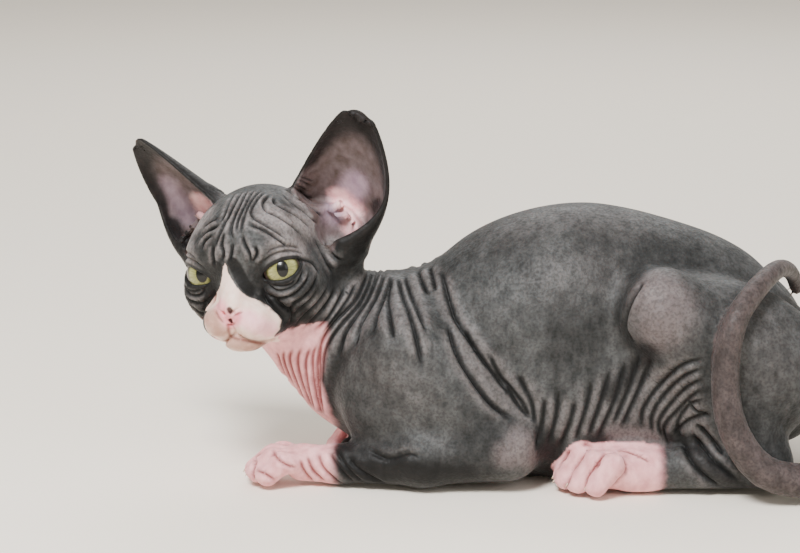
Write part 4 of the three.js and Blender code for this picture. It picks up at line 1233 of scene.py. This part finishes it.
shader.inputs["Subsurface Scale"].default_value = GLOW_MM / 1000
skin.data.materials.append(skin_material)
print(len(tree.nodes), "nodes in the skin")

# %% [markdown]
# ## Eyes
# A cat's eye is almost all iris behind a clear, bulging cornea. The ball is one closed surface whose radius
# grows by a bell curve towards the gaze, and the iris, its fibres and the upright pupil are drawn on it by
# the place across and up that each point carries.

# %% Eyes
GAZE = {"left": (0.881, 0.458, 0.122), "right": (0.971, 0.216, 0.100)}
CORNEA_BULGE, CORNEA_DEG = 0.9, 34
IRIS_RADIUS, LIMBUS_RADIUS = 8.4, 6.7  # its dark border begins at the second
IRIS_INNER, IRIS_OUTER = 3.4, 6.4  # radii between which it goes from its inner to its outer tone
PUPIL_HALF_WIDTH, PUPIL_HALF_HEIGHT = 2.9, 4.2


def grid_faces(rows, columns):
    """Quads of a tube of rows rings, with each ring closed, and single points at both ends."""
    k = np.arange(rows * columns).reshape(rows, columns)
    turned = np.roll(k, -1, axis=1)
    sides = np.stack([k[:-1], turned[:-1], turned[1:], k[1:]], -1).reshape(-1, 4)
    first, last = rows * columns, rows * columns + 1
    caps = [[first, turned[0, i], k[0, i]] for i in range(columns)]
    caps += [[last, k[-1, i], turned[-1, i]] for i in range(columns)]
    return sides, caps


def eyeball(name, side):
    """Radius R + bulge exp(-(angle / width) squared), from the pole at the gaze to the one behind."""
    rows, columns = 48, 64
    gaze = unit(GAZE[name])
    rise = unit(np.array((0, 0, 1.0)) - gaze * gaze[2])
    across = np.cross(rise, gaze)
    angle = np.linspace(0, math.pi, rows + 2)[1:-1, None]
    round_it = np.linspace(0, 2 * math.pi, columns, endpoint=False)[None, :]
    radius = EYE_RADIUS + CORNEA_BULGE * np.exp(-((np.degrees(angle) / CORNEA_DEG) ** 2))
    u = radius * np.sin(angle) * np.cos(round_it)
    v = radius * np.sin(angle) * np.sin(round_it)
    w = radius * np.cos(angle) * np.ones_like(round_it)
    local = np.stack([u, v, w], -1).reshape(-1, 3)
    local = np.vstack([local, (0, 0, EYE_RADIUS + CORNEA_BULGE), (0, 0, -EYE_RADIUS)])
    centre = EYE_AT * (1, side, 1)
    places = from_head(centre + local @ np.stack([across, rise, gaze]))
    sides, caps = grid_faces(rows, columns)
    piece = new_mesh("eye_" + name + "_ball", places, sides.tolist() + caps)
    for key, values in (("across", local[:, 0]), ("rise", local[:, 1])):
        set_attribute(piece, key, values)
    return piece


eye_material, tree, shader = new_material("wet_cornea_over_iris")
across_mm = add(tree, "Attribute", out="Fac", attribute_name="across")
rise_mm = add(tree, "Attribute", out="Fac", attribute_name="rise")
flat = add(tree, "CombineXYZ", {"X": across_mm, "Y": rise_mm})
from_middle = add(tree, "VectorMath", {0: flat}, "Value", operation="LENGTH")
oval = add(tree, "VectorMath", {0: flat, 1: (PUPIL_HALF_WIDTH, PUPIL_HALF_HEIGHT, 1)}, operation="DIVIDE")
pupil = add(tree, "VectorMath", {0: oval}, "Value", operation="LENGTH")
bearing = add(tree, "Math", {0: rise_mm, 1: across_mm}, operation="ARCTAN2")
FIBRES = 42  # round the iris, drawn fewer than the real ones so that they show
turns = add(tree, "MapRange", {"Value": bearing, "From Min": -math.pi, "From Max": math.pi, "To Max": FIBRES})
rings = add(tree, "Math", {0: from_middle, 1: 0.22}, operation="MULTIPLY")
around = add(tree, "CombineXYZ", {"X": turns, "Y": rings})
fibres = add(tree, "TexNoise", {"Vector": around, "Scale": 1.0, "Detail": 4.0, "Roughness": 0.6})
strands = add(tree, "MapRange", {"Value": fibres, "From Min": 0.35, "From Max": 0.65})
inner = add(tree, "Mix", {FAC: strands, A: colour("#5f5f33"), B: colour("#86854f")}, **RGBA)
outer = add(tree, "Mix", {FAC: strands, A: colour("#7d7c4b"), B: colour("#a3a270")}, **RGBA)
outward_share = add(tree, "MapRange", {"Value": from_middle, "From Min": IRIS_INNER, "From Max": IRIS_OUTER})
iris = add(tree, "Mix", {FAC: outward_share, A: inner, B: outer}, **RGBA)
limbus = add(tree, "MapRange", {"Value": from_middle, "From Min": LIMBUS_RADIUS, "From Max": IRIS_RADIUS})
iris = add(tree, "Mix", {FAC: limbus, A: iris, B: colour("#2a2a1c")}, **RGBA)
past_pupil = add(tree, "MapRange", {"Value": pupil, "From Min": 0.96, "From Max": 1.07})
iris = add(tree, "Mix", {FAC: past_pupil, A: colour("#030303"), B: iris}, **RGBA)
past_iris = add(tree, "MapRange", {"Value": from_middle, "From Min": 8.2, "From Max": 8.7})
iris = add(tree, "Mix", {FAC: past_iris, A: iris, B: colour("#4a3b38")}, **RGBA)
tree.links.new(iris, shader.inputs["Base Color"])
shader.inputs["Roughness"].default_value = 0.3
shader.inputs["Specular IOR Level"].default_value = 0.2
shader.inputs["Coat Weight"].default_value = 0.6
shader.inputs["Coat Roughness"].default_value = 0.03
shader.inputs["Coat IOR"].default_value = 1.38
eyes = {name: eyeball(name, side) for name, side in (("left", 1), ("right", -1))}
for piece in eyes.values():
    piece.data.materials.append(eye_material)
print("eyes of", len(eyes["left"].data.polygons), "faces")

# %% [markdown]
# ## Claws
# A resting cat keeps its claws nearly hidden: each is a pale, curved horn whose tip just clears the toe.

# %% Claws
CLAW_RINGS, CLAW_SIDES = 9, 10
CLAW_RADIUS, CLAW_BEND_RADIUS = 0.95, 4.4  # at its root, and of the quarter circle that it follows
CLAW_BEND = 1.25  # radians
UP = np.array((0, 0, 1.0))


def claw_places(foot_ball, heading_deg, reach, aside):
    """A horn along a quarter bend: the radius shrinks as a root of what is left, and the tip turns down."""
    t = np.linspace(0, 1, CLAW_RINGS)[:, None]
    ahead = unit(toe_places(foot_ball, heading_deg, 1, 0, 0) - toe_places(foot_ball, heading_deg, 0, 0, 0))
    start = toe_places(foot_ball, heading_deg, reach + 2.2, aside, 7.6)
    bend = t * CLAW_BEND
    path = start + ahead * CLAW_BEND_RADIUS * np.sin(bend) - UP * CLAW_BEND_RADIUS * (1 - np.cos(bend))
    along = ahead * np.cos(bend) - UP * np.sin(bend)
    beside = np.cross(ahead, UP)
    over = np.cross(beside, along)
    a = np.linspace(0, 2 * math.pi, CLAW_SIDES, endpoint=False)
    radius = CLAW_RADIUS * (1 - 0.93 * t) ** 0.7
    ring = beside * np.cos(a)[None, :, None] * 0.7 + over[:, None, :] * np.sin(a)[None, :, None]
    return np.vstack([(path[:, None, :] + ring * radius[:, :, None]).reshape(-1, 3), path[:1], path[-1:]])


claw_points, claw_faces = [], []
for foot, flip in FEET:
    for reach, aside in foot[4]:
        places = claw_places(foot[1], foot[3], reach, aside) * (1, flip, 1)
        sides, caps = grid_faces(CLAW_RINGS, CLAW_SIDES)
        base = sum(len(p) for p in claw_points)
        claw_points.append(places)
        for face in sides.tolist() + caps:
            claw_faces.append([base + i for i in (face if flip > 0 else face[::-1])])
claws = new_mesh("claws", np.vstack(claw_points), claw_faces)
claw_material, _, shader = new_material("claw_horn")
shader.inputs["Base Color"].default_value = colour("#cdb9a6")
shader.inputs["Roughness"].default_value = 0.35
claws.data.materials.append(claw_material)
print(len(claw_points), "claws")

# %% [markdown]
# ## Floor and light
# A pale floor and wide, soft lamps, as in a product studio. The key light stands on the camera's side, a
# little to its left and high up, so that the face is bright and each fold casts a short, soft shadow.

# %% Floor and light
FLOOR_DROP = 0.0005  # metres under the feet, so that no two surfaces lie in one plane
bpy.ops.mesh.primitive_plane_add(size=24, location=(0, 0, -FLOOR_DROP))
floor = bpy.context.object
floor.name = "floor"
floor_material, _, shader = new_material("matt_studio_floor")
shader.inputs["Base Color"].default_value = colour("#f7efe2")
shader.inputs["Roughness"].default_value = 0.9
floor.data.materials.append(floor_material)


LIT_AT = (0, 0, 0.09)  # the cat's middle, in metres


def soft_lamp(name, at, size, power):
    """A square lamp that faces the cat's middle."""
    data = bpy.data.lights.new(name, "AREA")
    data.energy, data.size = power, size
    lamp = bpy.data.objects.new(name, data)
    lamp.location = at
    aim = -np.array(at) + LIT_AT
    yaw = math.atan2(aim[1], aim[0])
    pitch = math.atan2(-aim[2], math.hypot(aim[0], aim[1]))
    lamp.rotation_euler = (math.pi / 2 - pitch, 0, yaw - math.pi / 2)
    bpy.context.scene.collection.objects.link(lamp)


soft_lamp("key_lamp", (-0.4, -1.05, 1.35), 0.5, 52)
soft_lamp("fill_lamp", (1.3, -1.3, 0.9), 1.2, 10)
soft_lamp("back_lamp", (0.2, 1.5, 1.5), 1.2, 20)
world = bpy.data.worlds.new("studio")
world.use_nodes = True
world.node_tree.nodes["Background"].inputs["Color"].default_value = colour("#efeae2")
world.node_tree.nodes["Background"].inputs["Strength"].default_value = 0.8
bpy.context.scene.world = world

# %% [markdown]
# ## Hand-over
# Each piece is tied to the one body of the frame, and the solids it stands for are hidden.

# %% Hand-over
FLESH_NODES = [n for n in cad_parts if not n.startswith("eye_")]
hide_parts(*FLESH_NODES)
for name, piece in eyes.items():
    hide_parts("eye_" + name)
for piece in (skin, claws, *eyes.values()):
    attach(piece, "root")
